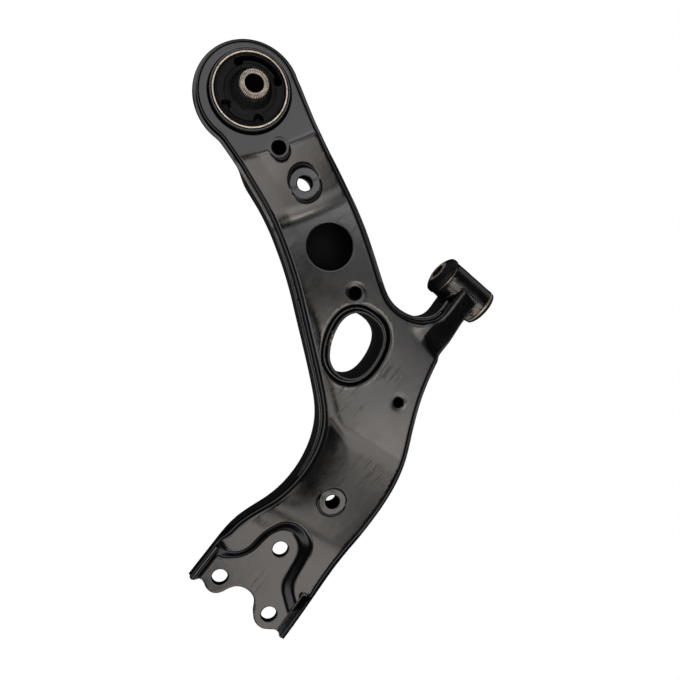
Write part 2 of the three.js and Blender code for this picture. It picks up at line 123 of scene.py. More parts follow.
LID_END = [(358.4, 229.6), (359.3, 233.6), (362.2, 238.8), (363.1, 244.5), (361.2, 249.6), (357, 253.3), (351.8, 255.9),
           (347, 259.6), (343.9, 264.8), (342.9, 270.8), (343.7, 277), (346.6, 282.4), (351.8, 286.8), (357.8, 290.4),
           (362.4, 295), (365, 300.8), (365, 307), (362.6, 312.4), (360.0, 317.0), (359.4, 320.6)]

# ------------------------------------------------------------------ curve and plan helpers


def catmull(pts, per=24):
    p = np.asarray(pts, float)
    p = np.vstack([2 * p[0] - p[1], p, 2 * p[-1] - p[-2]])
    out = []
    for i in range(1, len(p) - 2):
        p0, p1, p2, p3 = p[i - 1], p[i], p[i + 1], p[i + 2]
        for k in range(per):
            t = k / per
            out.append(0.5 * (2 * p1 + (p2 - p0) * t + (2 * p0 - 5 * p1 + 4 * p2 - p3) * t * t + (3 * p1 - p0 - 3 * p2 + p3) * t ** 3))
    out.append(p[-2])
    return np.array(out)


def arc(p):
    return np.concatenate([[0], np.cumsum(np.linalg.norm(np.diff(p, axis=0), axis=1))])


def at_len(p, s):
    a = arc(p)
    return np.stack([np.interp(s, a, p[:, k]) for k in range(p.shape[1])], axis=1)


def resample(p, step):
    a = arc(p)
    n = max(2, int(round(a[-1] / step)))
    return at_len(p, np.linspace(0, a[-1], n + 1))


def smooth_chain(p, sigma):
    """Gaussian smoothing along an evenly spaced open chain, ends kept."""
    h = np.linalg.norm(p[1] - p[0])
    w = int(3 * sigma / h)
    k = np.exp(-0.5 * (np.arange(-w, w + 1) * h / sigma) ** 2)
    k /= k.sum()
    q = np.vstack([2 * p[0] - p[w:0:-1], p, 2 * p[-1] - p[-2:-w - 2:-1]])
    return np.stack([np.convolve(q[:, c], k, "valid") for c in range(p.shape[1])], axis=1)


def closed_curve(pts, step, sigma=0.0):
    p = np.asarray(pts, float)
    n = len(p)
    q = np.vstack([p[-4:], p, p[:5]])
    c = catmull(q, 24)
    c = c[4 * 24:(4 + n) * 24 + 1]
    m = max(8, int(round(arc(c)[-1] / step)))
    r = at_len(c, np.linspace(0, arc(c)[-1], m + 1))[:-1]
    if sigma:
        h = arc(c)[-1] / m
        w = int(3 * sigma / h)
        k = np.exp(-0.5 * (np.arange(-w, w + 1) * h / sigma) ** 2)
        k /= k.sum()
        rr = np.vstack([r[-w:], r, r[:w]])
        r = np.stack([np.convolve(rr[:, c2], k, "valid") for c2 in range(2)], axis=1)
    return r


def left_normals(p, closed=False):
    if closed:
        t = np.roll(p, -1, 0) - np.roll(p, 1, 0)
    else:
        t = np.gradient(p, axis=0)
    t = t / np.linalg.norm(t, axis=1)[:, None]
    return np.stack([-t[:, 1], t[:, 0]], axis=1)


def grow(poly, d):
    """Closed polygon moved outward by d, whatever its direction."""
    a = np.sum(poly[:, 0] * np.roll(poly[:, 1], -1) - np.roll(poly[:, 0], -1) * poly[:, 1])
    n = left_normals(poly, True) * (-1 if a > 0 else 1)
    return poly + n * d


def circle(cx, cy, r, n):
    a = np.arange(n) * 2 * math.pi / n
    return np.stack([cx + r * np.cos(a), cy + r * np.sin(a)], axis=1)


def inside(poly, pts):
    x, y = pts[:, 0], pts[:, 1]
    c = np.zeros(len(pts), bool)
    q = np.roll(poly, -1, 0)
    for (ax, ay), (bx, by) in zip(poly, q):
        if ay == by:
            continue
        c ^= ((ay > y) != (by > y)) & (x < (bx - ax) * (y - ay) / (by - ay) + ax)
    return c


def dist_line(pts, line, closed=False):
    """Distance of each point to a polyline."""
    best = np.full(len(pts), 1e9)
    q = np.roll(line, -1, 0) if closed else line[1:]
    for a, b in zip(line, q):
        ab = b - a
        L = ab @ ab
        if L < 1e-12:
            continue
        t = np.clip(((pts - a) @ ab) / L, 0, 1)
        d = np.hypot(pts[:, 0] - a[0] - t * ab[0], pts[:, 1] - a[1] - t * ab[1])
        best = np.minimum(best, d)
    return best


def bend(u, r):
    """max(0, u) with its corner rounded over -r..r."""
    return np.where(u <= -r, 0, np.where(u >= r, u, (u + r) ** 2 / (4 * r)))


def ramp01(u, a, b, ra, rb):
    return (bend(u - a, ra) - bend(u - b, rb)) / (b - a)


def smin(a, b, k):
    h = np.maximum(k - np.abs(a - b), 0) / k
    return np.minimum(a, b) - h * h * k / 4


def smax(a, b, k):
    return -smin(-a, -b, k)


def sstep(t):
    t = np.clip(t, 0, 1)
    return t * t * (3 - 2 * t)


# ------------------------------------------------------------------ the upper face as a height over the plan
TOPC = catmull(STEP_TOP, 8)
FOOTC = catmull(STEP_FOOT, 8)
TOP_POLY = np.vstack([TOPC, [[520, 420], [520, 120]]])
FOOT_POLY = np.vstack([FOOTC, [[500, 400], [500, 140]]])


def base_u(x, y):
    u = 0.51 * x + 0.86 * y
    v = -0.86 * x + 0.51 * y
    return u - 1.9 * (1 - np.clip(np.abs(v - 6.3) / 31.5, 0, 1.6) ** 2)


def plain_top(x, y):
    """The upper face without its local forms."""
    u = base_u(x, y)
    z = TOP_MAIN + (TOP_REAR - TOP_MAIN) * (1 - ramp01(u, 46, 99.4, 3.4, 9.0))
    xb = x + 0.10 * (y - 280)
    z = z - (TOP_MAIN - TOP_SEAT) * ramp01(xb, 166, 272, 9, 16)
    # neck: lifts to the front housing and leans over towards +Y
    w = sstep((y - 226) / 14)
    z = z + w * (2.9 * bend(56 - x, 3.0) / 52 - np.clip(y - 245.6, -2, 30) * 0.19 * sstep((64 - x + (y - 247) * 0.12) / 7.5))
    return z


def top_z(x, y):
    pts = np.stack([x, y], axis=1)
    z = plain_top(x, y)
    # level pads with drafted sides
    for p in (PAD_1, PAD_2):
        r = np.hypot(x - p["c"][0], y - p["c"][1])
        g = p["k"] * np.maximum(r - p["r"], 0)
        near = r < p["r"] + 16
        zn = smin(smax(z, p["z"] - g, 0.9), p["z"] + g, 0.9)
        z = np.where(near, zn, z)
    r = np.hypot(x - DRAWN_HOLE[0], y - DRAWN_HOLE[1])
    g = 1.1 * np.maximum(r - 8.0, 0)
    z = np.where(r < 16, smin(smax(z, 55.95 - g, 0.7), 55.95 + g, 0.7), z)
    # stepped seat
    sel = x > 240
    if sel.any():
        q = pts[sel]
        zb = z[sel]
        in_top = inside(TOP_POLY, q)
        in_foot = inside(FOOT_POLY, q)
        dt = dist_line(q, TOPC)
        df = dist_line(q, FOOTC)
        t = np.where(in_foot, 0, np.where(in_top, df / np.maximum(df + dt, 1e-9), 1))
        prof = ramp01(t, 0.16, 0.84, 0.16, 0.16)
        zz = SEAT_TOP + (zb - SEAT_TOP) * prof
        # ridges along both flanks of the seat
        left = SEAT_TOP - 3 + (TOP_SEAT - 0.7 - SEAT_TOP + 3) * (1 - ramp01(q[:, 1], 222.8, 230.2, 1.9, 1.6)) * sstep((q[:, 0] - 319.6) / 4.2)
        yy = q[:, 1] - 0.05 * (q[:, 0] - 340)
        cut = SEAT_TOP + (zb - SEAT_TOP + 3) * (1 - ramp01(yy, 314.6, 318.6, 0.9, 0.7)) - 0.0
        wcut = sstep((q[:, 0] - 312.6) / 3.6)
        zz = np.where(q[:, 1] > 300, zz + (np.minimum(zz, smin(zz, cut, 0.8)) - zz) * wcut, zz)
        right = SEAT_TOP - 3 + (TOP_SEAT + 0.6 - SEAT_TOP + 3) * ramp01(q[:, 1] - 0.05 * (q[:, 0] - 340), 318.6, 325.2, 0.6, 0.8) * sstep((q[:, 0] - 316.5) / 3.0)
        zz = smax(zz, left, 1.0)
        zz = smax(zz, right, 1.4)
        z = z.copy()
        z[sel] = zz
    return z


def hole_drop(d, R):
    """Rounding of a sheared hole's upper edge, d from the edge."""
    w = R * math.sin(math.radians(52))
    s = np.clip((w - d) / R, 0, 0.999)
    return R * (1 - np.sqrt(1 - s * s))


OVAL_C = closed_curve(OVAL, 1.4, 2.0)
OVAL_OUT = grow(OVAL_C, OVAL_WALL)
OVAL_HOLE = grow(OVAL_C, OVAL_WALL + WELD_SLOT)
LID_HOLES = [(0.0, 0.0, 32.7, 1.5), (BIG_HOLE[0], BIG_HOLE[1], BIG_HOLE[2], 1.1), (*DRAWN_HOLE, 1.2), (*HOLE_2, 1.2), (*HOLE_3, 1.0),
             (*PAD_1["c"], PAD_1["hole"], 0.8), (*PAD_2["c"], PAD_2["hole"], 0.8)] + [(c[0], c[1], SEAT_HOLE_R, 0.7) for c in SEAT_HOLES]


def lid_z(x, y):
    z = top_z(x, y)
    if len(x) > 60:
        q = np.stack([x, y], 1)
        d = dist_line(q, CH1[::14]) - 8.0
        out = (x > 28) & (y < 100)
        w1 = sstep((x + y - 30) / 20) * sstep((118 - y) / 30) * out
        z = z - 0.045 * bend(9.5 - d, 1.6) * w1
        w2 = sstep((x - 88) / 30) * sstep((262 - x) / 40)
        amp = 0.7 + 1.3 * sstep((x - 150) / 45)
        z = z - amp * np.clip(1 - d / (9 + 26 * sstep((x - 150) / 60)), 0, 1) ** 2 * w2
    for cx, cy, r, R in LID_HOLES:
        z = z - hole_drop(np.hypot(x - cx, y - cy) - r, R)
    # slight dishes round the two small holes
    for cx, cy, r, d in ((*HOLE_2, 0.5), (*HOLE_3, 0.3)):
        rr = np.hypot(x - cx, y - cy)
        z = z - d * (1 - sstep((rr - r) / 4.5))
    sel = (np.abs(x - 103) < 40) & (np.abs(y - 199) < 36)
    if sel.any():
        d = dist_line(np.stack([x[sel], y[sel]], 1), OVAL_HOLE, True)
        z = z.copy()
        z[sel] -= hole_drop(d, 4.2)
    return z


def floor_z(x, y):
    u = 0.51 * x + 0.86 * y
    return FLOOR_REAR * (1 - ramp01(u, 46, 99.4, 6, 6))


def edge_z(x, y):
    """Top edge of the lower panel's walls."""
    v = np.clip((x - 166) / (272 - 166), 0, 1)
    z = plain_top(x, y) - (9 - 4 * v)
    return z + (4.7 - z) * sstep((x - 299) / 9) * (y < 260)


# ------------------------------------------------------------------ flank chains
_arc = [[REAR_C[0] + REAR_R * math.cos(math.radians(a)), REAR_C[1] + REAR_R * math.sin(math.radians(a))] for a in np.arange(153.5, 364, 10.5)]
CH1 = smooth_chain(resample(catmull(SIDE_IN + _arc + SIDE_OUT), 0.5), 2.2)
CH2 = smooth_chain(resample(catmull(SIDE_FWD), 0.5), 2.2)


_w = sstep((66 - CH2[:, 0]) / 26)
CH2 = CH2 + np.stack([np.zeros(len(CH2)), 2.4 * _w], axis=1)


def tuck(x, y, z, top):
    """How far the side leans in below its top edge, round the outboard side of the rear end."""
    w = sstep((x - 18) / 18) * sstep((y + 56) / 26) * sstep((44 - y) / 32)
    return 8.5 * w * np.clip((top - z) / 40, 0, 1)


def cut_chain(ch, xmax, xmin=3.0, coarse=1.9, fine=0.45):
    """Chain trimmed to xmin..xmax at its ends, finer where it meets the front housing."""
    s = arc(ch)
    neck = (ch[:, 1] > 235) & (ch[:, 0] < 60)
    if ch[0, 0] < 60:      # starts at the neck
        i0 = np.argmax(ch[:, 0] > xmin)
        s0 = np.interp(xmin, ch[i0 - 1:i0 + 1, 0], s[i0 - 1:i0 + 1])
        j = len(ch) - 1 - np.argmax((ch[::-1, 0] < xmax))
        s1 = np.interp(xmax, ch[j:j + 2, 0], s[j:j + 2])
        i20 = np.argmax(ch[:, 0] > 20)
        sa = s[i20]
        n1, n2 = int((sa - s0) / fine), int((s1 - sa) / coarse)
        ss = np.concatenate([np.linspace(s0, sa, n1 + 1)[:-1], np.linspace(sa, s1, n2 + 1)])
    else:                  # ends at the neck
        i0 = np.argmax(ch[:, 0] < xmax)
        s0 = np.interp(-xmax, -ch[i0 - 1:i0 + 1, 0], s[i0 - 1:i0 + 1])
        j = np.argmax(ch[:, 0] < xmin)
        s1 = np.interp(-xmin, -ch[j - 1:j + 1, 0], s[j - 1:j + 1])
        i20 = np.argmax(ch[:, 0] < 20)
        sa = s[i20]
        n1, n2 = int((sa - s0) / coarse), int((s1 - sa) / fine)
        ss = np.concatenate([np.linspace(s0, sa, n1 + 1)[:-1], np.linspace(sa, s1, n2 + 1)])
    n = left_normals(ch)
    return at_len(ch, ss), at_len(np.hstack([ch, n]), ss)[:, 2:]


HOUSE_R = 18.0
FRONT_Z = 21.3


def above_housing(x, z):
    """Keeps a wall clear of the front housing from above."""
    c = np.where(np.abs(x) < HOUSE_R, FRONT_Z + np.sqrt(np.maximum(HOUSE_R ** 2 - x * x, 0)), -99)
    return np.maximum(z, c)


# ------------------------------------------------------------------ meshes
class Build:
    def __init__(self):
        self.v, self.f, self.n = [], [], 0

    def add(self, verts, faces):
        verts = np.asarray(verts, float).reshape(-1, 3)
        self.v.append(verts)
        self.f += [tuple(int(i) + self.n for i in f) for f in faces]
        self.n += len(verts)

    def strip(self, g, wrap_u=False, wrap_v=False):
        m, n = g.shape[:2]
        faces = []
        for i in range(m if wrap_u else m - 1):
            i2 = (i + 1) % m
            for j in range(n if wrap_v else n - 1):
                j2 = (j + 1) % n
                faces.append((i * n + j, i2 * n + j, i2 * n + j2, i * n + j2))
        self.add(g.reshape(-1, 3), faces)

    def verts(self):
        return np.vstack(self.v)


def mesh_from(name, v, f, merge=0.004, smooth_angle=40, outward=None):
    """A mesh object from arm millimetres."""
    me = bpy.data.meshes.new(name)
    me.from_pydata(to_row(v).tolist(), [], f)
    bm = bmesh.new()
    bm.from_mesh(me)
    if merge:
        bmesh.ops.remove_doubles(bm, verts=bm.verts, dist=merge * 0.001)
        bmesh.ops.dissolve_degenerate(bm, dist=1e-7, edges=bm.edges)
    bmesh.ops.recalc_face_normals(bm, faces=bm.faces)
    bm.to_mesh(me)
    bm.free()
    me.polygons.foreach_set("use_smooth", [True] * len(me.polygons))
    me.set_sharp_from_angle(angle=math.radians(smooth_angle))
    me.update()
    o = bpy.data.objects.new(name, me)
    bpy.context.scene.collection.objects.link(o)
    return o


def sheet_object(name, build, thick, top_up=True, bevel=0.32, sharp=38):
    """Closes an open outer surface into a sheet of that thickness, with its sheared rim edges rounded."""
    bm = bmesh.new()
    vs = [bm.verts.new(p) for p in build.verts()]
    for f in build.f:
        if len(set(f)) == len(f):
            try:
                bm.faces.new([vs[i] for i in f])
            except ValueError:
                pass
    bmesh.ops.remove_doubles(bm, verts=bm.verts, dist=0.012)
    bmesh.ops.dissolve_degenerate(bm, dist=1e-4, edges=bm.edges)
    loose = [v for v in bm.verts if not v.link_faces]
    bmesh.ops.delete(bm, geom=loose, context="VERTS")
    bmesh.ops.recalc_face_normals(bm, faces=bm.faces)
    big = sum(f.normal.z * f.calc_area() for f in bm.faces)
    if (big > 0) != top_up:
        bmesh.ops.reverse_faces(bm, faces=bm.faces)
    bm.verts.ensure_lookup_table()
    bm.verts.index_update()
    bm.normal_update()
    v = np.array([p.co for p in bm.verts])
    nrm = np.array([p.normal for p in bm.verts])
    faces = [[q.index for q in f.verts] for f in bm.faces]
    rim = [(e.verts[0].index, e.verts[1].index, [q.index for q in e.link_faces[0].verts]) for e in bm.edges if len(e.link_faces) == 1]
    bm.free()
    n = len(v)
    # profile across the sheet's edge: a rounded nose standing out by `bevel`
    steps = [(0.45, 0.12), (0.85, 0.38), (1.0, 0.85), (1.0, None), (0.85, -0.38), (0.45, -0.12)] if bevel else []
    outv = {}
    for a, b, f in rim:
        d = v[b] - v[a]
        ia = f.index(a)
        if f[(ia + 1) % len(f)] != b:
            d = -d
        L = np.linalg.norm(d)
        if L < 1e-9:
            continue
        nn = nrm[a] + nrm[b]
        o = np.cross(d / L, nn / np.linalg.norm(nn))
        for i in (a, b):
            outv[i] = outv.get(i, 0) + o * min(L, 0.5)
    blocks, index = [v, v - nrm * thick], {}
    base = 2 * n
    for i, o in outv.items():
        lo = np.linalg.norm(o)
        o = o / lo if lo > 1e-9 else np.zeros(3)
        index[i] = base
        for k, m in steps:
            dn = thick / 2 if m is None else (bevel * m if m > 0 else thick + bevel * m)
            blocks.append((v[i] - nrm[i] * dn + o * bevel * k)[None, :])
            base += 1
    allv = np.vstack(blocks)
    out_f = list(faces) + [[i + n for i in reversed(f)] for f in faces]
    for a, b, f in rim:
        ia = f.index(a)
        if f[(ia + 1) % len(f)] != b:
            a, b = b, a
        if a not in index or b not in index:
            continue
        ca = [a] + [index[a] + k for k in range(len(steps))] + [a + n]
        cb = [b] + [index[b] + k for k in range(len(steps))] + [b + n]
        for k in range(len(ca) - 1):
            out_f.append([cb[k], ca[k], ca[k + 1], cb[k + 1]])
    me = bpy.data.meshes.new(name)
    me.from_pydata(to_row(allv).tolist(), [], out_f)
    me.validate()
    o = bpy.data.objects.new(name, me)
    bpy.context.scene.collection.objects.link(o)
    me.polygons.foreach_set("use_smooth", [True] * len(me.polygons))
    me.set_sharp_from_angle(angle=math.radians(sharp))
    return o


def hexgrid(x0, x1, y0, y1, s):
    rows = []
    h = s * math.sqrt(3) / 2
    for j, y in enumerate(np.arange(y0, y1, h)):
        xs = np.arange(x0 + (s / 2 if j % 2 else 0), x1, s)
        rows.append(np.stack([xs, np.full(len(xs), y)], axis=1))
    return np.vstack(rows)


def plan_mesh(outer, holes, extra, zfun, zones, coarse=2.0, fine=0.95):
    """Triangles over a plan outline with holes. extra: point sets laid along local forms; zones(pts) marks where the fine grid goes."""
    lo, hi = outer.min(0), outer.max(0)
    g1 = hexgrid(lo[0], hi[0], lo[1], hi[1], coarse)
    g2 = hexgrid(lo[0], hi[0], lo[1], hi[1], fine)
    g1 = g1[~zones(g1)]
    g2 = g2[zones(g2)]
    pts = []
    loops = [outer] + holes
    for g, s in ((g1, coarse), (g2, fine)):
        m = inside(outer, g)
        g = g[m]
        for h in holes:
            g = g[~inside(h, g)]
        d = np.minimum.reduce([dist_line(g, l, True) for l in loops])
        g = g[d > 0.55 * min(s, 1.4)]
        pts.append(g)
    g = np.vstack(pts)
    ex = []
    for e, clear in extra:
        m = inside(outer, e)
        for h in holes:
            m &= ~inside(h, e)
        e = e[m]
        if len(e):
            d = np.minimum.reduce([dist_line(e, l, True) for l in loops])
            e = e[d > 0.2]
        ex.append(e)
        if len(g) and len(e):
            from mathutils.kdtree import KDTree
            kd = KDTree(len(e))
            for i, p in enumerate(e):
                kd.insert((p[0], p[1], 0), i)
            kd.balance()
            keep = [kd.find((p[0], p[1], 0))[2] > clear for p in g]
            g = g[np.array(keep)]
    allp = np.vstack(loops + ex + [g])
    edges, k = [], 0
    for l in loops:
        n = len(l)
        edges += [(k + i, k + (i + 1) % n) for i in range(n)]
        k += n
    vs, _, fs, _, _, _ = delaunay_2d_cdt([Vector((float(a), float(b))) for a, b in allp], edges, [], 0, 1e-5)
    v = np.array([[p.x, p.y] for p in vs])
    f = np.array([t for t in fs if len(t) == 3])
    c = v[f].mean(1)
    m = inside(outer, c)
    for h in holes:
        m &= ~inside(h, c)
    f = f[m]
    z = zfun(v[:, 0], v[:, 1])
    return np.column_stack([v, z]), f


def rings(cx, cy, radii, step=1.1):
    return np.vstack([circle(cx, cy, r, max(16, int(2 * math.pi * r / step))) for r in radii])


# ------------------------------------------------------------------ upper panel
def wall_radius(x, y):
    """Pressed radius along the lid's top edge: tighter along the neck and the seat ridges."""
    r = np.full(len(x), 4.8)
    r = r - 2.4 * sstep((x - 303) / 18) - 1.2 * sstep((x - 306) / 10) * (y > 280)
    r = r - 1.9 * sstep((150 - np.hypot(x - 1, y + 1)) / 105)
    neck = (y > 236) & (x < 60)
    return np.where(neck, 4.8 - 1.4 * sstep((58 - x) / 20), r)


def lid_bottom(x, y):
    zt = plain_top(x, y)
    z = np.maximum(zt - 22, floor_z(x, y) + 3.3 + 0.2)
    z = np.minimum(z, zt - 7.0)
    z = np.maximum(z, 3.4)
    z = z + (5.4 - z) * sstep((x - 300) / 8) * (y < 260)
    return above_housing(x, z)


def lid_in(x, y):
    """Distance of the lid's wall in from the lower panel's: it laps over the edge at the seat's rear ridge."""
    return LID_IN - 2.5 * sstep((x - 306) / 12) * (y < 260)


def upper_panel():
    b = Build()
    tops = []
    for ch, xmax in ((CH1, 360.2), (CH2, 360.6)):
        p, n = cut_chain(ch, xmax)
        R = wall_radius(p[:, 0], p[:, 1])
        LI = lid_in(p[:, 0], p[:, 1])
        ti = p + n * (LI + R)[:, None]
        zt = lid_z(ti[:, 0], ti[:, 1])
        cols = []
        w = p + n * LI[:, None]
        zb = np.minimum(lid_bottom(w[:, 0], w[:, 1]), zt - R - 0.6)
        zb = np.where((w[:, 1] > 230) & (w[:, 0] < 19), np.minimum(above_housing(w[:, 0], zb), zt - R * 0.2), zb)
        for k in range(5):
            z = zb + (zt - R - zb) * k / 5
            cols.append(np.column_stack([w + n * tuck(w[:, 0], w[:, 1], z, zt - R)[:, None], z]))
        for a in np.linspace(0, 90, 9):
            a = math.radians(a)
            q = p + n * (LI + R * (1 - math.cos(a)))[:, None]
            cols.append(np.column_stack([q, np.maximum(zt - R * (1 - math.sin(a)), zb)]))
        g = np.stack(cols, axis=1)
        b.strip(g)
        tops.append(ti)
    end = resample(catmull([tuple(tops[0][-1])] + LID_END + [tuple(tops[1][0])], 12), 0.8)[1:-1]
    neck = resample(np.array([tops[1][-1], tops[0][0]]), 1.0)[1:-1]
    outer = np.vstack([tops[0], end, tops[1], neck])
    holes = [circle(cx, cy, r, max(28, int(2 * math.pi * r / 0.95))) for cx, cy, r, _ in LID_HOLES]
    holes.append(resample_closed(OVAL_HOLE, 1.1))
    extra = []
    for cx, cy, r, R in LID_HOLES:
        extra.append((rings(cx, cy, [r + R * q for q in (0.18, 0.42, 0.78)] + [r + R * 0.78 + 0.7], 0.95), 0.75))
    for p in (PAD_1, PAD_2):
        extra.append((rings(*p["c"], [p["r"] - 1.2, p["r"] - 0.4, p["r"], p["r"] + 0.4, p["r"] + 1.0, p["r"] + 1.8, p["r"] + 2.6, p["r"] + 3.5, p["r"] + 4.4, p["r"] + 5.3], 0.9), 0.7))
    extra.append((rings(DRAWN_HOLE[0], DRAWN_HOLE[1], [7.3, 7.8, 8.2, 8.8, 9.5, 10.3, 11.1], 0.85), 0.7))
    extra.append((np.vstack([resample_closed(grow(OVAL_C, OVAL_WALL + WELD_SLOT + q), 1.1) for q in (0.3, 0.7, 1.2, 1.8, 2.5, 3.3)]), 0.8))
    yy = np.arange(317.4, 325.0, 0.42)
    ridge = np.array([[x, y + 0.055 * (x - 340)] for x in np.arange(320, 358, 1.3) for y in yy])
    extra.append((ridge, 0.6))

    def zones(q):
        m = (q[:, 0] > 258) & (q[:, 0] < 372) & (inside(TOP_POLY, q) | (dist_line(q, TOPC) < 3)) & ~(inside(FOOT_POLY, q) & (dist_line(q, FOOTC) > 2.5))
        m |= (q[:, 0] > 312) & ((q[:, 1] < 233) | (q[:, 1] > 315))
        for p in (PAD_1, PAD_2):
            m |= np.hypot(q[:, 0] - p["c"][0], q[:, 1] - p["c"][1]) < p["r"] + 8.5
        m |= np.hypot(q[:, 0] - 18.3, q[:, 1] - 44.2) < 14
        return m

    v, f = plan_mesh(outer, holes, extra, lid_z, zones)
    b.add(v, f)
    return sheet_object("upper_panel_pressing", b, SHEET - 0.25)


def resample_closed(p, step):
    q = np.vstack([p, p[:1]])
    n = int(round(arc(q)[-1] / step))
    return at_len(q, np.linspace(0, arc(q)[-1], n + 1))[:-1]


# ------------------------------------------------------------------ lower panel
def lower_panel():
    b = Build()
    feet = []
    for ch, xmax in ((CH1, 361.0), (CH2, 361.2)):
        p, n = cut_chain(ch, xmax, xmin=3.6)
        x, y = p[:, 0], p[:, 1]
        R = np.full(len(p), 4.2)
        fi = p + n * R[:, None]
        zf = floor_z(fi[:, 0], fi[:, 1]) * 1.0
        ze = edge_z(x, y)
        neck = (y > 230) & (x < HOUSE_R)
        low = FRONT_Z - np.sqrt(np.maximum(HOUSE_R ** 2 - x * x, 0))
        ze = np.where(neck, np.minimum(ze, np.maximum(low, zf + 3.2)), ze)
        cols = []
        for a in np.linspace(90, 0, 8):
            a = math.radians(a)
            z = np.minimum(zf + R * (1 - math.sin(a)), ze)
            q = p + n * (R * (1 - math.cos(a)) + tuck(x, y, z, ze))[:, None]
            cols.append(np.column_stack([q, z]))
        for k in range(1, 7):
            z = np.minimum(zf + R, ze) + (ze - np.minimum(zf + R, ze)) * k / 6
            cols.append(np.column_stack([p + n * tuck(x, y, z, ze)[:, None], z]))
        cols[0][:, 2] = floor_z(cols[0][:, 0], cols[0][:, 1])
        b.strip(np.stack(cols, axis=1))
        feet.append(cols[0][:, :2])
    end = [(358.8, 229), (359.6, 233.5)] + LID_END[2:-2] + [(360.4, 317.5), (361, 322)]
    end = resample(catmull([tuple(feet[0][-1])] + end + [tuple(feet[1][0])], 12), 0.9)[1:-1]
    neck = resample(np.array([feet[1][-1], feet[0][0]]), 1.0)[1:-1]
    outer = np.vstack([feet[0], end, feet[1], neck])
    hl = [(0.0, 0.0, 32.4, 1.2)] + [(c[0], c[1], SEAT_HOLE_R, 0.7) for c in SEAT_HOLES] + [(*p["c"], p["low"], 0.8) for p in (PAD_1, PAD_2)]
    holes = [circle(cx, cy, r, max(28, int(2 * math.pi * r / 1.0))) for cx, cy, r, _ in hl] + [resample_closed(OVAL_HOLE, 1.2)]

    def zf(x, y):
        z = floor_z(x, y)
        for cx, cy, r, R in hl:
            z = z + hole_drop(np.hypot(x - cx, y - cy) - r, R)
        return z

    extra = [(rings(cx, cy, [r + R * q for q in (0.3, 0.78)] + [r + R * 0.78 + 0.8], 1.0), 0.8) for cx, cy, r, R in hl]
    v, f = plan_mesh(outer, holes, extra, zf, lambda q: np.zeros(len(q), bool), coarse=2.6)
    b.add(v, f)
    return sheet_object("lower_panel_pressing", b, SHEET - 0.1, top_up=False)


# ------------------------------------------------------------------ turned pieces
def rounded(profile, r=0.5, seg=3):
    """A closed profile with each corner rounded by r, or by a third item of the point."""
    out = []
    n = len(profile)
    for i in range(n):
        p = np.array(profile[i][:2], float)
        rr = profile[i][2] if len(profile[i]) > 2 else r
        a = np.array(profile[i - 1][:2], float)
        c = np.array(profile[(i + 1) % n][:2], float)
        u, w = a - p, c - p
        lu, lw = np.linalg.norm(u), np.linalg.norm(w)
        u, w = u / lu, w / lw
        if rr <= 0:
            out.append(p)
            continue
        cut = min(rr, 0.45 * lu, 0.45 * lw)
        for k in range(seg + 1):
            t = k / seg
            out.append((1 - t) ** 2 * (p + u * cut) + 2 * t * (1 - t) * p + t * t * (p + w * cut))
    return np.array(out)


def dense(profile, step):
    q = np.vstack([profile, profile[:1]])
    out = []
    for a, b in zip(q[:-1], q[1:]):
        n = max(1, int(np.linalg.norm(b - a) / step))
        for k in range(n):
            out.append(a + (b - a) * k / n)
    return np.array(out)


def frame_of(axis, tilt=0.0):
    """Columns: radial 0, radial 90, axis."""
    if axis == "Y":
        return np.array([[1.0, 0, 0], [0, 0, 1.0], [0, 1.0, 0]])
    t = math.radians(tilt)
    return np.array([[math.cos(t), 0, math.sin(t)], [0, 1, 0], [-math.sin(t), 0, math.cos(t)]])


def turned(name, profile, centre, axis="Z", n=128, tilt=0.0, warp=None, smooth_angle=38):
    """Turned closed profile [(r, h)]; warp(r, h, angle) -> (r, h) shapes it further."""
    F = frame_of(axis, tilt)
    a = np.arange(n) * 2 * math.pi / n
    r = profile[None, :, 0] * np.ones((n, 1))
    h = profile[None, :, 1] * np.ones((n, 1))
    A = a[:, None] * np.ones((1, len(profile)))
    if warp is not None:
        r, h = warp(r, h, A)
    P = (r * np.cos(A))[..., None] * F[0] + (r * np.sin(A))[..., None] * F[1] + h[..., None] * F[2] + np.asarray(centre, float)
    b = Build()
    b.strip(P, wrap_u=True, wrap_v=True)
    return mesh_from(name, b.verts(), b.f, merge=0.002, smooth_angle=smooth_angle)


REAR_Z0, REAR_Z1, MID_Z, TILT = 8.5, 61.5, 35.25, -9.0


def rear_collar():
    p = rounded([[30.1, REAR_Z0], [31.8, REAR_Z0], [31.8, REAR_Z1], [30.1, REAR_Z1]], 0.55)
    return turned("rear_collar_tube", p, (0, 0, 0), n=160)


def rear_outer():
    def warp(r, h, A):
        return r, h + 0.05 * np.sin(3 * A + 1.0) * (h > 60)
    p = rounded([[28.2, 9.3], [29.8, 9.3], [29.8, 62.0], [28.2, 62.0]], 0.45)
    return turned("rear_outer_sleeve_tube", p, (0, 0, 0), n=160, warp=warp)


def serrations(r_in, r_out, half, teeth, depth, ends):
    """Radial teeth on the end faces of a sleeve."""
    def warp(r, h, A):
        s = np.abs(((A * teeth / (2 * math.pi)) % 1.0) - 0.5) * 2
        shape = np.clip((s - 0.5) * 2.6, -1, 1) * 0.5 - 0.5
        m = sstep((r - r_in - 0.4) / 0.7) * sstep((r_out - 0.2 - r) / 0.6)
        for e in ends:
            m2 = m * (np.sign(h) == e) * (np.abs(h) > half - 0.9)
            h = h + e * depth * shape * m2
        return r, h
    return warp


def rear_inner():
    h, rb, ro = 31.0, 7.25, 11.5
    p = rounded([[rb, -h, 0.9], [ro, -h, 0.5], [ro, h, 0.5], [rb, h, 0.9]], 0.6, 4)
    top = dense_ends(p, h)
    return turned("rear_inner_sleeve_serrated", top, (0, 0, MID_Z), n=44 * 10, tilt=-TILT, warp=serrations(rb, ro, h, 44, 0.55, (1, -1)), smooth_angle=28)


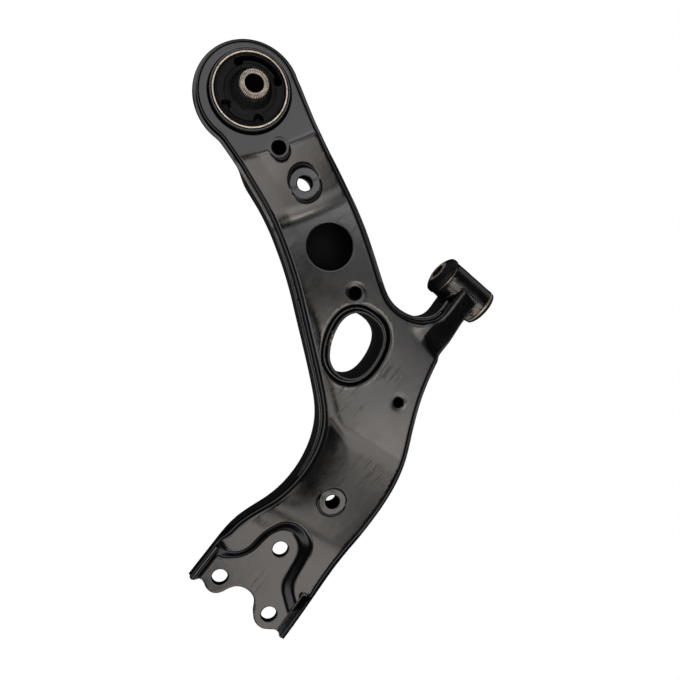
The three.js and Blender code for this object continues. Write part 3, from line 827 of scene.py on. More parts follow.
def dense_ends(p, half):
    """Adds points across the end faces only."""
    q = np.vstack([p, p[:1]])
    out = []
    for a, b in zip(q[:-1], q[1:]):
        flat = abs(a[1] - b[1]) < 1e-6 and abs(abs(a[1]) - half) < 1e-6
        n = max(1, int(np.linalg.norm(b - a) / 0.5)) if flat else max(1, int(np.linalg.norm(b - a) / 12))
        for k in range(n):
            out.append(a + (b - a) * k / n)
    return np.array(out)


def front_y(p):
    return [[a[0], a[1], *a[2:]] for a in p]


FRONT_C = (0, 252.6, FRONT_Z)


def front_housing():
    p = rounded([[15.6, -20], [17.7, -20], [17.7, 20], [15.6, 20]], 0.6)

    def warp(r, h, A):
        return r + 0.06 * np.sin(2 * A + 0.4 * h) * (r > 16), h
    return turned("front_housing_tube", dense(p, 3.0), FRONT_C, "Y", n=112, warp=warp)


def front_outer():
    p = rounded([[14.0, -21.5], [15.3, -21.5, 0.4], [15.3, 20.3, 0], [17.9, 20.3, 0.4], [17.9, 22.7, 1.0], [14.0, 22.7]], 0.4)
    return turned("front_outer_sleeve_flanged", p, FRONT_C, "Y", n=112)


def front_inner():
    h, rb, ro = 31.0, 6.5, 10.6
    p = dense_ends(rounded([[rb, -h, 0.8], [ro, -h, 0.45], [ro, 27.4, 0.45], [rb, 27.4, 0.8]], 0.6, 4), h)
    return turned("front_inner_sleeve_serrated", p, FRONT_C, "Y", n=40 * 10, warp=serrations(rb, ro, h, 40, 0.55, (-1,)), smooth_angle=28)


def front_rubber():
    i = 10.65
    L = 27.8
    p = [[i, -30.3, 0.3], [i + 1.6, -30.2, 0.8], [15.0, -29.0, 1.6], [17.9, -27.0, 2.2], [18.5, -23.9, 1.4], [18.2, -21.75, 0.6], [13.95, -21.75, 0.2],
         [13.95, 23.1, 0.2], [17.3, 23.1, 0.5], [17.5, 24.3, 0.9], [15.6, 25.5, 1.4], [i + 2.2, 26.1, 1.0], [i, 26.0, 0.3]]
    p = dense(rounded(p, 0.5, 4), 2.5)

    def warp(r, h, A):
        # a shallow groove round each end face
        g = np.exp(-((r - 14.0) / 0.55) ** 2) * (np.abs(h) > 24.5)
        return r, h - np.sign(h) * 0.45 * g
    return turned("front_rubber_body", p, FRONT_C, "Y", n=112, warp=warp)


# ------------------------------------------------------------------ rear rubber, in sectors that give as the sleeve tilts
def rubber_top(r, A):
    """Upper face of the rear rubber over radius and angle, in mm."""
    hub = 63.9 - 4.6 * sstep((r - 12.4) / 4.6)              # raised round the sleeve
    z = hub - 0.5 * sstep((r - 17.5) / 3.0)
    z = z + 0.45 * np.exp(-((r - 19.8) / 0.6) ** 2) + 0.35 * np.exp(-((r - 26.4) / 0.5) ** 2)
    z = z + 1.2 * sstep((r - 26.6) / 1.4)                   # lip against the outer sleeve
    x, y = r * np.cos(A), r * np.sin(A)
    d = np.hypot(x - 14.0, y - 4.5)
    z = z + 0.9 * (1 - sstep((d - 1.9) / 0.9)) - 0.45 * (1 - sstep((d - 0.6) / 0.9))
    return z


def void_depth(r, A):
    """0..1 mask of the moulded voids."""
    deg = np.degrees(A) % 360

    def slot(a0, a1, r0, r1, soft, lobes):
        mid, half = (a0 + a1) / 2, (a1 - a0) / 2
        da = (deg - mid + 180) % 360 - 180
        rm = (r0 + r1) / 2
        hw = (r1 - r0) / 2
        s = np.clip(da, -half + 3, half - 3)
        cx = rm * np.cos(np.radians(mid + s))
        cy = rm * np.sin(np.radians(mid + s))
        x, y = r * np.cos(A), r * np.sin(A)
        d = np.hypot(x - cx, y - cy) - hw
        m = 1 - sstep((d + soft) / (2 * soft))
        for la in lobes:
            lx, ly = (rm - 1.2) * math.cos(math.radians(la)), (rm - 1.2) * math.sin(math.radians(la))
            m = np.maximum(m, 1 - sstep((np.hypot(x - lx, y - ly) - hw - 0.4 + soft) / (2 * soft)))
        return m
    m = np.maximum(slot(148, 243, 23.4, 26.0, 0.45, ()), np.maximum(slot(146, 154, 20.6, 26.0, 0.5, ()), slot(237, 245, 20.6, 26.0, 0.5, ())))
    m2 = slot(-26, -12, 20.8, 25.0, 0.55, (-20,))
    m3 = slot(48, 62, 20.8, 25.0, 0.55, (55,))
    shallow = slot(-14, 50, 23.6, 25.6, 0.7, ()) * 0.6
    return m, np.maximum(m2, m3), shallow


def rear_rubber():
    out = []
    radii = np.unique(np.concatenate([np.linspace(11.9, 20, 19), np.linspace(20, 26.6, 23), np.linspace(26.6, 28.15, 5)]))
    N = 8
    for k in range(N):
        a0 = 2 * math.pi * (k - 0.5) / N
        ang = a0 + np.linspace(0, 2 * math.pi / N, 46)
        Ag, Rg = np.meshgrid(ang, radii, indexing="ij")
        m, pit, shallow = void_depth(Rg, Ag)
        zt = rubber_top(Rg, Ag) - 30 * m - 9 * pit - 2.6 * shallow
        zb = (70.5 - rubber_top(Rg, Ag)) + 22 * m + 7 * pit
        # follow the tilted sleeve at the inner edge
        lean = np.clip((20 - Rg) / 8, 0, 1)
        X, Y = Rg * np.cos(Ag), Rg * np.sin(Ag)
        t = math.tan(math.radians(TILT))
        dxt = (zt - MID_Z) * t * lean ** 1.2
        dxb = (zb - MID_Z) * t * lean ** 1.2
        zt = zt - X * t * lean * 0.9
        zb = zb - X * t * lean * 0.9
        top = np.stack([X + dxt, Y, zt], axis=2)
        bot = np.stack([X + dxb, Y, zb], axis=2)
        b = Build()
        m_, n_ = Rg.shape
        b.strip(top)
        nb = b.n
        b.add(bot.reshape(-1, 3), [(i * n_ + j, i * n_ + j + 1, (i + 1) * n_ + j + 1, (i + 1) * n_ + j) for i in range(m_ - 1) for j in range(n_ - 1)])
        idx = np.arange(m_ * n_).reshape(m_, n_)
        ring = list(idx[:, 0]) + list(idx[-1, 1:]) + list(idx[::-1, -1][1:]) + list(idx[0, ::-1][1:-1])
        side = []
        nr = len(ring)
        for i in range(nr):
            a, c = ring[i], ring[(i + 1) % nr]
            side.append((int(a), int(c), int(c) + nb, int(a) + nb))
        b.f += side
        o = mesh_from(f"rear_rubber_sector_{k + 1}", b.verts(), b.f, merge=0, smooth_angle=50)
        mid = 2 * math.pi * k / N
        d = (math.cos(mid), math.sin(mid))
        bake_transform(o, "root", "rear_sleeve", start=row_point(25.8 * d[0], 25.8 * d[1], 35), end=row_point(12.2 * d[0], 12.2 * d[1], 35))
        out.append(o)
    return out


# ------------------------------------------------------------------ oval tube
def oval_tube():
    inn = resample_closed(OVAL_C, 1.5)
    a = np.sum(inn[:, 0] * np.roll(inn[:, 1], -1) - np.roll(inn[:, 0], -1) * inn[:, 1])
    n = left_normals(inn, True) * (-1 if a > 0 else 1)
    prof = dense(rounded([[0, 0.0, 0.6], [OVAL_WALL, 0.0, 0.6], [OVAL_WALL, 42.2, 0.8], [0, 42.2, 0.8]], 0.6, 4), 6)
    P = np.concatenate([(inn + n * d)[:, None, :] for d in prof[:, 0]], axis=1)
    Z = np.repeat(prof[None, :, 1], len(inn), axis=0)
    b = Build()
    b.strip(np.concatenate([P, Z[..., None]], axis=2), wrap_u=True, wrap_v=True)
    return mesh_from("oval_tube_ring", b.verts(), b.f)


# ------------------------------------------------------------------ weld beads
def weld(name, path, r=1.5, up=(0, 0, 1), pitch=2.1, closed=False, flat=0.8, seed=1, taper=True):
    """A rippled bead along a 3-D path."""
    g = np.random.default_rng(seed)
    p = np.asarray(path, float)
    if closed:
        p = np.vstack([p, p[:1]])
    s = arc(p)
    n = max(12, int(s[-1] / 0.42))
    ss = np.linspace(0, s[-1], n + 1)
    q = np.stack([np.interp(ss, s, p[:, k]) for k in range(3)], axis=1)
    if closed:
        q, ss = q[:-1], ss[:-1]
        t = np.roll(q, -1, 0) - np.roll(q, 1, 0)
    else:
        t = np.gradient(q, axis=0)
    t /= np.linalg.norm(t, axis=1)[:, None]
    up = np.asarray(up, float)
    side = np.cross(t, up)
    side /= np.linalg.norm(side, axis=1)[:, None]
    upv = np.cross(side, t)
    pitch = s[-1] / max(1, round(s[-1] / pitch))
    ph = ss / pitch
    cell = np.floor(ph).astype(int)
    jit = g.normal(0, 0.05, cell.max() + 3)
    fr = ph - cell
    rip = 1 + 0.10 * np.sqrt(np.clip(1 - (2 * fr - 1) ** 2, 0, 1)) - 0.06 + jit[cell]
    w = np.ones(len(ss))
    if taper and not closed:
        w = np.minimum(sstep(ss / 2.4) * 0.75 + 0.25, sstep((ss[-1] - ss) / 2.4) * 0.75 + 0.25)
    m = 14
    a = np.arange(m) * 2 * math.pi / m
    rr = (r * rip * w)[:, None]
    lag = 0.55 * (np.sin(a) * 0.5 + 0.5)[None, :] * (1 if True else 0)
    P = q[:, None, :] + side[:, None, :] * (rr * np.cos(a)[None, :])[..., None] + upv[:, None, :] * (rr * flat * np.sin(a)[None, :])[..., None] + t[:, None, :] * (lag * r)[..., None]
    b = Build()
    b.strip(P, wrap_u=closed, wrap_v=True)
    if not closed:
        k = len(q)
        b.f.append(tuple(range(m - 1, -1, -1)))
        b.f.append(tuple((k - 1) * m + j for j in range(m)))
    o = mesh_from(name, b.verts(), b.f, merge=0, smooth_angle=75)
    return o


def seam_path(ch, a, b, inset=2.35, lift=0.35):
    """Stretch of a flank chain between the points nearest a and b, on the lower panel's edge."""
    i = int(np.argmin(np.hypot(ch[:, 0] - a[0], ch[:, 1] - a[1])))
    j = int(np.argmin(np.hypot(ch[:, 0] - b[0], ch[:, 1] - b[1])))
    i, j = min(i, j), max(i, j)
    p = ch[i:j + 1] + left_normals(ch)[i:j + 1] * inset
    o = ch[i:j + 1]
    return np.column_stack([p, edge_z(o[:, 0], o[:, 1]) + lift])[::2]


def housing_arc(y, a0, a1, R=18.4):
    a = np.radians(np.linspace(a0, a1, 26))
    return np.column_stack([R * np.cos(a), np.full(26, y), FRONT_Z + R * np.sin(a)])


# ------------------------------------------------------------------ materials
def srgb(r, g, b):
    return tuple(((c / 255) / 12.92 if c / 255 <= 0.04045 else ((c / 255 + 0.055) / 1.055) ** 2.4) for c in (r, g, b)) + (1.0,)


class Mat:
    def __init__(self, name):
        self.m = bpy.data.materials.new(name)
        self.m.use_nodes = True
        self.t = self.m.node_tree
        self.b = self.t.nodes["Principled BSDF"]
        self.co = self.t.nodes.new("ShaderNodeTexCoord").outputs["Object"]

    def node(self, kind, **props):
        n = self.t.nodes.new(kind)
        for k, v in props.items():
            setattr(n, k, v)
        return n

    def link(self, a, b):
        self.t.links.new(a, b)

    def set(self, name, v):
        self.b.inputs[name].default_value = v

    def noise(self, scale, detail=3.0, rough=0.5, stretch=None, distortion=0.0):
        n = self.node("ShaderNodeTexNoise")
        n.inputs["Scale"].default_value = scale
        n.inputs["Detail"].default_value = detail
        n.inputs["Roughness"].default_value = rough
        n.inputs["Distortion"].default_value = distortion
        if stretch is not None:
            mp = self.node("ShaderNodeMapping")
            mp.inputs["Rotation"].default_value = stretch[0]
            mp.inputs["Scale"].default_value = stretch[1]
            self.link(self.co, mp.inputs["Vector"])
            self.link(mp.outputs["Vector"], n.inputs["Vector"])
        else:
            self.link(self.co, n.inputs["Vector"])
        return n.outputs["Fac"]

    def ramp(self, src, stops):
        r = self.node("ShaderNodeValToRGB")
        el = r.color_ramp.elements
        el[0].position, el[0].color = stops[0][0], stops[0][1]
        el[1].position, el[1].color = stops[-1][0], stops[-1][1]
        for p, c in stops[1:-1]:
            e = el.new(p)
            e.color = c
        self.link(src, r.inputs["Fac"])
        return r.outputs["Color"]

    def range(self, src, a, b, c, d):
        r = self.node("ShaderNodeMapRange")
        r.inputs["From Min"].default_value, r.inputs["From Max"].default_value = a, b
        r.inputs["To Min"].default_value, r.inputs["To Max"].default_value = c, d
        self.link(src, r.inputs["Value"])
        return r.outputs["Result"]

    def math(self, op, a, b=None):
        n = self.node("ShaderNodeMath", operation=op)
        for i, v in enumerate((a, b)):
            if v is None:
                continue
            if isinstance(v, (int, float)):
                n.inputs[i].default_value = v
            else:
                self.link(v, n.inputs[i])
        return n.outputs[0]

    def mix(self, fac, a, b):
        n = self.node("ShaderNodeMix", data_type="RGBA")
        for key, v in ((0, fac), (6, a), (7, b)):
            if isinstance(v, (int, float)):
                n.inputs[key].default_value = v
            elif isinstance(v, tuple):
                n.inputs[key].default_value = v
            else:
                self.link(v, n.inputs[key])
        return n.outputs[2]

    def bump(self, height, strength, dist, normal=None):
        n = self.node("ShaderNodeBump")
        n.inputs["Strength"].default_value = strength
        n.inputs["Distance"].default_value = dist
        self.link(height, n.inputs["Height"])
        if normal is not None:
            self.link(normal, n.inputs["Normal"])
        return n.outputs["Normal"]

    def near(self, x, y, z, radius, soft):
        """1 near a point of the arm, falling to 0."""
        v = self.node("ShaderNodeVectorMath", operation="DISTANCE")
        self.link(self.co, v.inputs[0])
        v.inputs[1].default_value = row_point(x, y, z)
        return self.range(v.outputs["Value"], (radius - soft) * 0.001, (radius + soft) * 0.001, 1.0, 0.0)


def paint(name, rough=0.13, bare=(), spatter=(), gloss=0.62, lift=0.0, dust=0.35, smudge=()):
    m = Mat(name)
    m.set("Specular IOR Level", gloss)
    big = m.noise(14, 3, 0.55)
    mid = m.noise(60, 4, 0.6, distortion=0.4)
    fine = m.noise(900, 2, 0.5)
    streak = m.noise(70, 3, 0.6, stretch=((0, 0, 0.9), (1.0, 9.0, 1.0)))
    col = m.mix(m.range(mid, 0.4, 0.75, 0.0, 1.0), (0.0032, 0.0032, 0.0036, 1), (0.0058, 0.0056, 0.0055, 1))
    if lift:
        col = m.mix(m.range(streak, 0.3, 0.7, 0.25, 1.0), col, (lift, lift, lift * 1.02, 1))
    # settled dust in specks
    sp = m.node("ShaderNodeTexVoronoi", feature="F1")
    sp.inputs["Scale"].default_value = 330
    m.link(m.co, sp.inputs["Vector"])
    dots = m.range(sp.outputs["Distance"], 0.05, 0.12, 1.0, 0.0)
    patch = m.range(m.noise(33, 3, 0.6), 0.58, 0.74, 0.0, 1.0)
    dustm = m.math("MULTIPLY", m.math("MULTIPLY", dots, patch), dust)
    col = m.mix(dustm, col, (0.16, 0.14, 0.12, 1))
    r = m.math("ADD", m.range(mid, 0.3, 0.75, rough - 0.02, rough + 0.045), m.range(streak, 0.45, 0.75, 0.0, 0.03))
    r = m.math("ADD", r, m.range(big, 0.3, 0.7, -0.01, 0.015))
    r = m.math("ADD", r, m.math("MULTIPLY", dustm, 0.4))
    nrm = m.bump(fine, 0.02, 0.0006)
    nrm = m.bump(m.noise(240, 3, 0.5), 0.022, 0.0012, nrm)
    nrm = m.bump(big, 0.08, 0.004, nrm)
    for (x, y, z, rad, soft, thr, tint) in bare:
        mask = m.near(x, y, z, rad, soft)
        br = m.math("ADD", m.noise(420, 4, 0.65), m.math("MULTIPLY", mask, 0.30))
        k = m.math("MULTIPLY", m.range(br, thr, thr + 0.06, 0.0, 1.0), m.range(mask, 0.0, 0.25, 0.0, 1.0))
        col = m.mix(k, col, tint)
        r = m.math("ADD", r, m.math("MULTIPLY", k, 0.33))
    for (x, y, z, rad, sft) in smudge:
        # rubbed patches, brushed in one direction
        mask = m.near(x, y, z, rad, sft)
        rub = m.math("MULTIPLY", mask, m.range(m.noise(95, 5, 0.7, stretch=((0, 0, 0.35), (0.35, 2.6, 1.0))), 0.5, 0.62, 0.0, 1.0))
        r = m.math("ADD", r, m.math("MULTIPLY", rub, 0.24))
        col = m.mix(rub, col, (0.0125, 0.0105, 0.009, 1))
    m.link(col, m.b.inputs["Base Color"])
    m.link(r, m.b.inputs["Roughness"])
    m.link(nrm, m.b.inputs["Normal"])
    m.set("IOR", 1.5)
    return m.m


def steel(name, tint, dark, rough=0.36, metal=1.0, shaded_bores=(), teeth=0):
    m = Mat(name)
    n1 = m.noise(120, 4, 0.6)
    n2 = m.noise(700, 3, 0.6)
    col = m.mix(m.range(n1, 0.35, 0.7, 0.0, 1.0), tint, dark)
    rust = m.range(m.noise(210, 4, 0.7), 0.60, 0.72, 0.0, 0.75)
    col = m.mix(rust, col, (0.16, 0.09, 0.045, 1))
    for x, y, z, rot, r in shaded_bores:
        # painted shade down the deep bore: the wall is darkened by distance from its axis
        mp = m.node("ShaderNodeVectorMath", operation="SUBTRACT")
        m.link(m.co, mp.inputs[0])
        mp.inputs[1].default_value = row_point(x, y, z)
        vr = m.node("ShaderNodeVectorRotate", rotation_type="EULER_XYZ")
        vr.inputs["Rotation"].default_value = rot
        m.link(mp.outputs[0], vr.inputs["Vector"])
        xyz = m.node("ShaderNodeSeparateXYZ")
        m.link(vr.outputs[0], xyz.inputs[0])
        d = m.math("SQRT", m.math("ADD", m.math("MULTIPLY", xyz.outputs[0], xyz.outputs[0]), m.math("MULTIPLY", xyz.outputs[1], xyz.outputs[1])))
        k = m.range(d, (r + 0.35) * 0.001, (r + 0.6) * 0.001, 1.0, 0.0)
        if teeth:
            th = m.math("MULTIPLY", m.math("ARCTAN2", xyz.outputs[1], xyz.outputs[0]), float(teeth))
            st = m.range(m.math("SINE", th), -0.1, 0.55, 0.0, 0.8)
            st = m.math("MULTIPLY", st, m.range(d, (r + 1.5) * 0.001, (r + 2.3) * 0.001, 0.25, 1.0))
            col = m.mix(st, col, (0.075, 0.062, 0.045, 1))
        # painted shade: the bore's wall and inner edge mixed to near black
        col = m.mix(k, col, (0.006, 0.0055, 0.005, 1))
    m.link(col, m.b.inputs["Base Color"])
    m.link(m.math("ADD", m.range(n2, 0.3, 0.7, rough - 0.06, rough + 0.1), m.math("MULTIPLY", rust, 0.3)), m.b.inputs["Roughness"])
    m.link(m.bump(n2, 0.12, 0.0003), m.b.inputs["Normal"])
    m.set("Metallic", metal)
    return m.m


def rubber(name):
    m = Mat(name)
    n1 = m.noise(80, 4, 0.6)
    n2 = m.noise(1300, 3, 0.6)
    col = m.mix(m.range(n1, 0.35, 0.7, 0.0, 1.0), (0.0035, 0.0036, 0.004, 1), (0.0075, 0.0075, 0.0082, 1))
    bloom = m.range(m.noise(45, 4, 0.65, distortion=0.6), 0.56, 0.72, 0.0, 0.35)
    col = m.mix(bloom, col, (0.017, 0.017, 0.018, 1))
    m.link(col, m.b.inputs["Base Color"])
    m.link(m.range(n1, 0.3, 0.7, 0.44, 0.6), m.b.inputs["Roughness"])
    nrm = m.bump(n2, 0.15, 0.0003)
    m.link(m.bump(n1, 0.1, 0.001, nrm), m.b.inputs["Normal"])
    m.set("Specular IOR Level", 0.2)
    return m.m


# ------------------------------------------------------------------ build it
BEIGE = (0.30, 0.255, 0.19, 1)
PALE = (0.42, 0.38, 0.31, 1)
M_LID = paint("arm_paint_upper", smudge=((138, 225, 40, 20, 9), (104, 243, 40, 13, 7), (335, 268, 6, 13, 8), (33, 128, 40, 11, 6), (190, 285, 34, 17, 9)))
M_TRAY = paint("arm_paint_lower", rough=0.16)
# painted shade: a matte, barely reflective paint standing in for the shade inside the closed box
M_INSIDE_SHADE = paint("arm_paint_inside_shade", rough=0.5, gloss=0.06, dust=0.1)
M_TUBE = paint("arm_paint_oval", rough=0.38, lift=0.022, bare=((112, 178, 37, 11, 5, 0.80, PALE), (124, 186, 30, 9, 5, 0.84, PALE)))
M_COLLAR = paint("arm_paint_collar", rough=0.18)
M_HOUSE = paint("arm_paint_housing", rough=0.2, bare=((8, 271.5, 36, 6, 4, 0.70, BEIGE), (15, 271, 26, 7, 4, 0.70, BEIGE), (2, 236, 39, 6, 4, 0.80, BEIGE)))
M_WELD = paint("weld_paint", rough=0.22, bare=((5, 240, 38, 8, 4, 0.74, BEIGE), (6, 268, 36, 9, 5, 0.72, BEIGE)))
M_SLEEVE = steel("sleeve_steel", (0.60, 0.53, 0.42, 1), (0.42, 0.37, 0.29, 1), 0.34)
M_SERR = steel("serrated_steel", (0.86, 0.78, 0.66, 1), (0.60, 0.53, 0.42, 1), 0.4, metal=0.15,
               shaded_bores=((0, 0, MID_Z, (0, math.radians(9), 0), 7.25),), teeth=48)
M_SERR_F = steel("serrated_steel_front", (0.60, 0.52, 0.40, 1), (0.34, 0.28, 0.2, 1), 0.42, metal=0.3,
                 shaded_bores=((0, 252.6, FRONT_Z, (math.radians(90), 0, 0), 6.5),), teeth=44)
M_FLANGE = steel("flange_steel", (0.52, 0.45, 0.35, 1), (0.3, 0.25, 0.19, 1), 0.42, metal=0.8)
M_RUBBER = rubber("bush_rubber")


def dress(o, mat, slot, body="root", *nodes):
    o.data.materials.clear()
    o.data.materials.append(mat)
    if "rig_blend" not in o:
        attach(o, body)
    if nodes:
        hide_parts(*nodes)
    return o


dress(upper_panel(), M_LID, "black_paint", "root", "upper_panel")
tray = dress(lower_panel(), M_TRAY, "black_paint", "root", "lower_panel")
# the tray's upward-facing inner floor takes the painted-shade paint
tray.data.materials.append(M_INSIDE_SHADE)
for p in tray.data.polygons:
    if p.normal.z > 0.5 and p.center.z < 0.021:
        p.material_index = 1
dress(oval_tube(), M_TUBE, "black_paint", "root", "oval_tube")
dress(rear_collar(), M_COLLAR, "black_paint", "root", "rear_bush_collar")
dress(rear_outer(), M_SLEEVE, "sleeve_steel", "root", "rear_bush_outer_sleeve")
dress(rear_inner(), M_SERR, "serrated_steel", "rear_sleeve", "rear_bush_inner_sleeve")
dress(front_housing(), M_HOUSE, "black_paint", "root", "front_bush_housing")
dress(front_outer(), M_FLANGE, "sleeve_steel", "root", "front_bush_outer_sleeve")
dress(front_inner(), M_SERR_F, "serrated_steel", "front_sleeve", "front_bush_inner_sleeve")
dress(front_rubber(), M_RUBBER, "rubber", "root", "front_bush_rubber")
for o in rear_rubber():
    dress(o, M_RUBBER, "rubber", "root", "rear_bush_rubber")

dress(weld("seam_bead_outboard", seam_path(CH1, (104, 133.2), (229.1, 235.5)), r=1.25, seed=2), M_WELD, "painted_weld", "root", "seam_weld_outboard")
dress(weld("seam_bead_forward", seam_path(CH2, (240.1, 324.7), (120.8, 290.5)), r=1.25, seed=3), M_WELD, "painted_weld", "root", "seam_weld_forward")
dress(weld("seam_bead_hook", seam_path(CH1, (26.5, 242.8), (42, 184.9)), r=1.3, seed=4), M_WELD, "painted_weld", "root", "seam_weld_hook")
dress(weld("seam_bead_inboard", seam_path(CH1, (26.8, 160.8), (-10.1, 78.7)), r=1.25, seed=5), M_WELD, "painted_weld", "root", "seam_weld_inboard")
ys = np.linspace(244, 265.5, 24)
dress(weld("housing_bead_upper", np.column_stack([np.full(24, 2.3), ys, np.full(24, 39.6)]), r=1.9, seed=6, up=(0, 0, 1)), M_WELD, "painted_weld", "root", "front_housing_weld_upper")
dress(weld("housing_bead_lower", np.column_stack([np.full(24, 2.3), ys, np.full(24, 2.2)]), r=1.5, seed=7), M_WELD, "painted_weld", "root", "front_housing_weld_lower")
dress(weld("housing_bead_rear", housing_arc(241.4, -46, 56), r=2.0, up=(0, 1, 0), seed=8), M_WELD, "painted_weld", "root", "front_housing_weld_rear")
dress(weld("housing_bead_forward", housing_arc(267.4, -46, 50), r=1.9, up=(0, 1, 0), seed=9), M_WELD, "painted_weld", "root", "front_housing_weld_forward")
a = np.linspace(0, 2 * math.pi, 120, endpoint=False)
dress(weld("collar_bead", np.column_stack([32.6 * np.cos(a), 32.6 * np.sin(a), np.full(120, 11.2)]), r=1.5, closed=True, seed=10), M_WELD, "painted_weld", "root", "rear_collar_weld")
ow = resample_closed(grow(OVAL_C, OVAL_WALL + WELD_SLOT * 0.5), 1.2)
dress(weld("oval_bead_upper", np.column_stack([ow, np.full(len(ow), 35.0)]), r=1.8, closed=True, flat=0.7, seed=11), M_WELD, "painted_weld", "root", "oval_weld_upper")
dress(weld("oval_bead_lower", np.column_stack([ow, np.full(len(ow), 1.9)]), r=1.8, closed=True, flat=0.7, seed=12), M_WELD, "painted_weld", "root", "oval_weld_lower")

# ------------------------------------------------------------------ floor
me = bpy.data.meshes.new("floor")
s = 40.0
me.from_pydata([(-s, -s, -0.0005), (s, -s, -0.0005), (s, s, -0.0005), (-s, s, -0.0005)], [], [(0, 1, 2, 3)])
floor = bpy.data.objects.new("floor", me)
bpy.context.scene.collection.objects.link(floor)
fm = bpy.data.materials.new("floor_pale")
fm.use_nodes = True
nt = fm.node_tree
nt.nodes.clear()
em = nt.nodes.new("ShaderNodeEmission")
em.inputs["Strength"].default_value = 1.0
em.inputs["Color"].default_value = (1.0, 1.0, 1.0, 1.0)
out = nt.nodes.new("ShaderNodeOutputMaterial")
nt.links.new(em.outputs[0], out.inputs[0])
me.materials.append(fm)
floor.visible_glossy = False
floor.visible_diffuse = False
floor.visible_transmission = False
floor.visible_shadow = False

# ------------------------------------------------------------------ light: one soft studio environment
world = bpy.data.worlds.new("studio")
bpy.context.scene.world = world
world.use_nodes = True
nt = world.node_tree
nt.nodes.clear()


def wn(kind, **kw):
    n = nt.nodes.new(kind)
    for k, v in kw.items():
        setattr(n, k, v)
    return n


def wmath(op, a, b=None, c=None):
    n = wn("ShaderNodeMath", operation=op)
    for i, v in enumerate((a, b, c)):
        if v is None:
            continue
        if isinstance(v, (int, float)):
            n.inputs[i].default_value = v
        else:
            nt.links.new(v, n.inputs[i])
    return n.outputs[0]


def wstep(v, a, b):
    n = wn("ShaderNodeMapRange", interpolation_type="SMOOTHSTEP")
    n.inputs["From Min"].default_value, n.inputs["From Max"].default_value = a, b
    nt.links.new(v, n.inputs["Value"])
    return n.outputs["Result"]


tc = wn("ShaderNodeTexCoord")
sep = wn("ShaderNodeSeparateXYZ")
nt.links.new(tc.outputs["Generated"], sep.inputs[0])
dx, dy, dz = sep.outputs
zc = wmath("MAXIMUM", dz, 0.001)
tx = wmath("DIVIDE", dx, zc)          # tangent of the angle from overhead, towards +X
ty = wmath("DIVIDE", dy, zc)
upper = wmath("GREATER_THAN", dz, 0.02)


def window(x0, x1, y0, y1, soft):
    m = wmath("MULTIPLY", wmath("MULTIPLY", wstep(tx, x0 - soft, x0 + soft), wmath("SUBTRACT", 1.0, wstep(tx, x1 - soft, x1 + soft))),
              wmath("MULTIPLY", wstep(ty, y0 - soft, y0 + soft), wmath("SUBTRACT", 1.0, wstep(ty, y1 - soft, y1 + soft))))
    return wmath("MULTIPLY", m, upper)


def spot(cx, cy, r, soft):
    a = wmath("SUBTRACT", tx, cx)
    b = wmath("SUBTRACT", ty, cy)
    d = wmath("SQRT", wmath("ADD", wmath("MULTIPLY", a, a), wmath("MULTIPLY", b, b)))
    return wmath("MULTIPLY", wmath("SUBTRACT", 1.0, wstep(d, r - soft, r + soft)), upper)


def tinted(level, colour):
    n = wn("ShaderNodeMix", data_type="RGBA", blend_type="MIX")
    n.inputs[0].default_value = 1.0
    v = wn("ShaderNodeVectorMath", operation="SCALE")
    v.inputs[0].default_value = colour
    nt.links.new(level, v.inputs["Scale"])
    return v.outputs[0]


def wadd(a, b):
    n = wn("ShaderNodeVectorMath", operation="ADD")
    nt.links.new(a, n.inputs[0])
    nt.links.new(b, n.inputs[1])
    return n.outputs[0]




def gauss(v, c, w):
    d = wmath("DIVIDE", wmath("SUBTRACT", v, c), w)
    return wmath("EXPONENT", wmath("MULTIPLY", wmath("MULTIPLY", d, d), -1.0))


def inv(v):
    return wmath("SUBTRACT", 1.0, v)


def lin(a, b, c):
    return wmath("ADD", wmath("ADD", wmath("MULTIPLY", tx, a), wmath("MULTIPLY", ty, b)), c)


BOX = window(-0.44, 1.4, -0.52, 0.62, 0.05)
P = lin(0.54, 0.84, 0.0)
Pb = lin(0.51, 0.86, 0.0)
Qb = lin(-0.86, 0.51, 0.0)
cx = wmath("ADD", tx, 0.076)
cy = wmath("SUBTRACT", ty, 0.118)
dcore = wmath("SQRT", wmath("ADD", wmath("MULTIPLY", cx, cx), wmath("MULTIPLY", cy, cy)))
rear = inv(wstep(P, -0.024, -0.012))
gx = wmath("DIVIDE", wmath("ADD", tx, 0.25), 0.075)
gy = wmath("DIVIDE", wmath("SUBTRACT", ty, 0.08), 0.075)
glow = wmath("EXPONENT", wmath("MULTIPLY", wmath("ADD", wmath("MULTIPLY", gx, gx), wmath("MULTIPLY", gy, gy)), -1.0))
rear_l = wmath("ADD", wmath("MINIMUM", wmath("ADD", 0.35, wmath("MULTIPLY", dcore, 11.0)), 1.72), wmath("MULTIPLY", glow, 1.9))
fwd_l = wmath("MINIMUM", wmath("ADD", 0.16, wmath("MULTIPLY", dcore, 5.2)), 1.3)
bx = wmath("DIVIDE", wmath("SUBTRACT", tx, 0.075), 0.13)
by = wmath("DIVIDE", wmath("SUBTRACT", ty, 0.385), 0.085)
hot = wmath("EXPONENT", wmath("MULTIPLY", wmath("ADD", wmath("MULTIPLY", bx, bx), wmath("MULTIPLY", by, by)), -1.0))
fwd_l = wmath("ADD", fwd_l, wmath("MULTIPLY", hot, 3.0))
fwd_l = wmath("ADD", fwd_l, wmath("MULTIPLY", wstep(tx, 0.15, 0.28), 1.25))
fwd_l = wmath("ADD", fwd_l, wmath("MULTIPLY", wmath("MULTIPLY", wstep(ty, 0.40, 0.46), inv(wstep(tx, 0.12, 0.2))), 0.75))
level = wmath("ADD", wmath("MULTIPLY", rear, rear_l), wmath("MULTIPLY", inv(rear), fwd_l))
slit = wmath("MULTIPLY", wmath("MULTIPLY", wstep(P, -0.027, -0.0215), inv(wstep(P, -0.0145, -0.009))), wstep(Qb, 0.105, 0.125))
level = wmath("MULTIPLY", level, inv(wmath("MULTIPLY", slit, 0.93)))
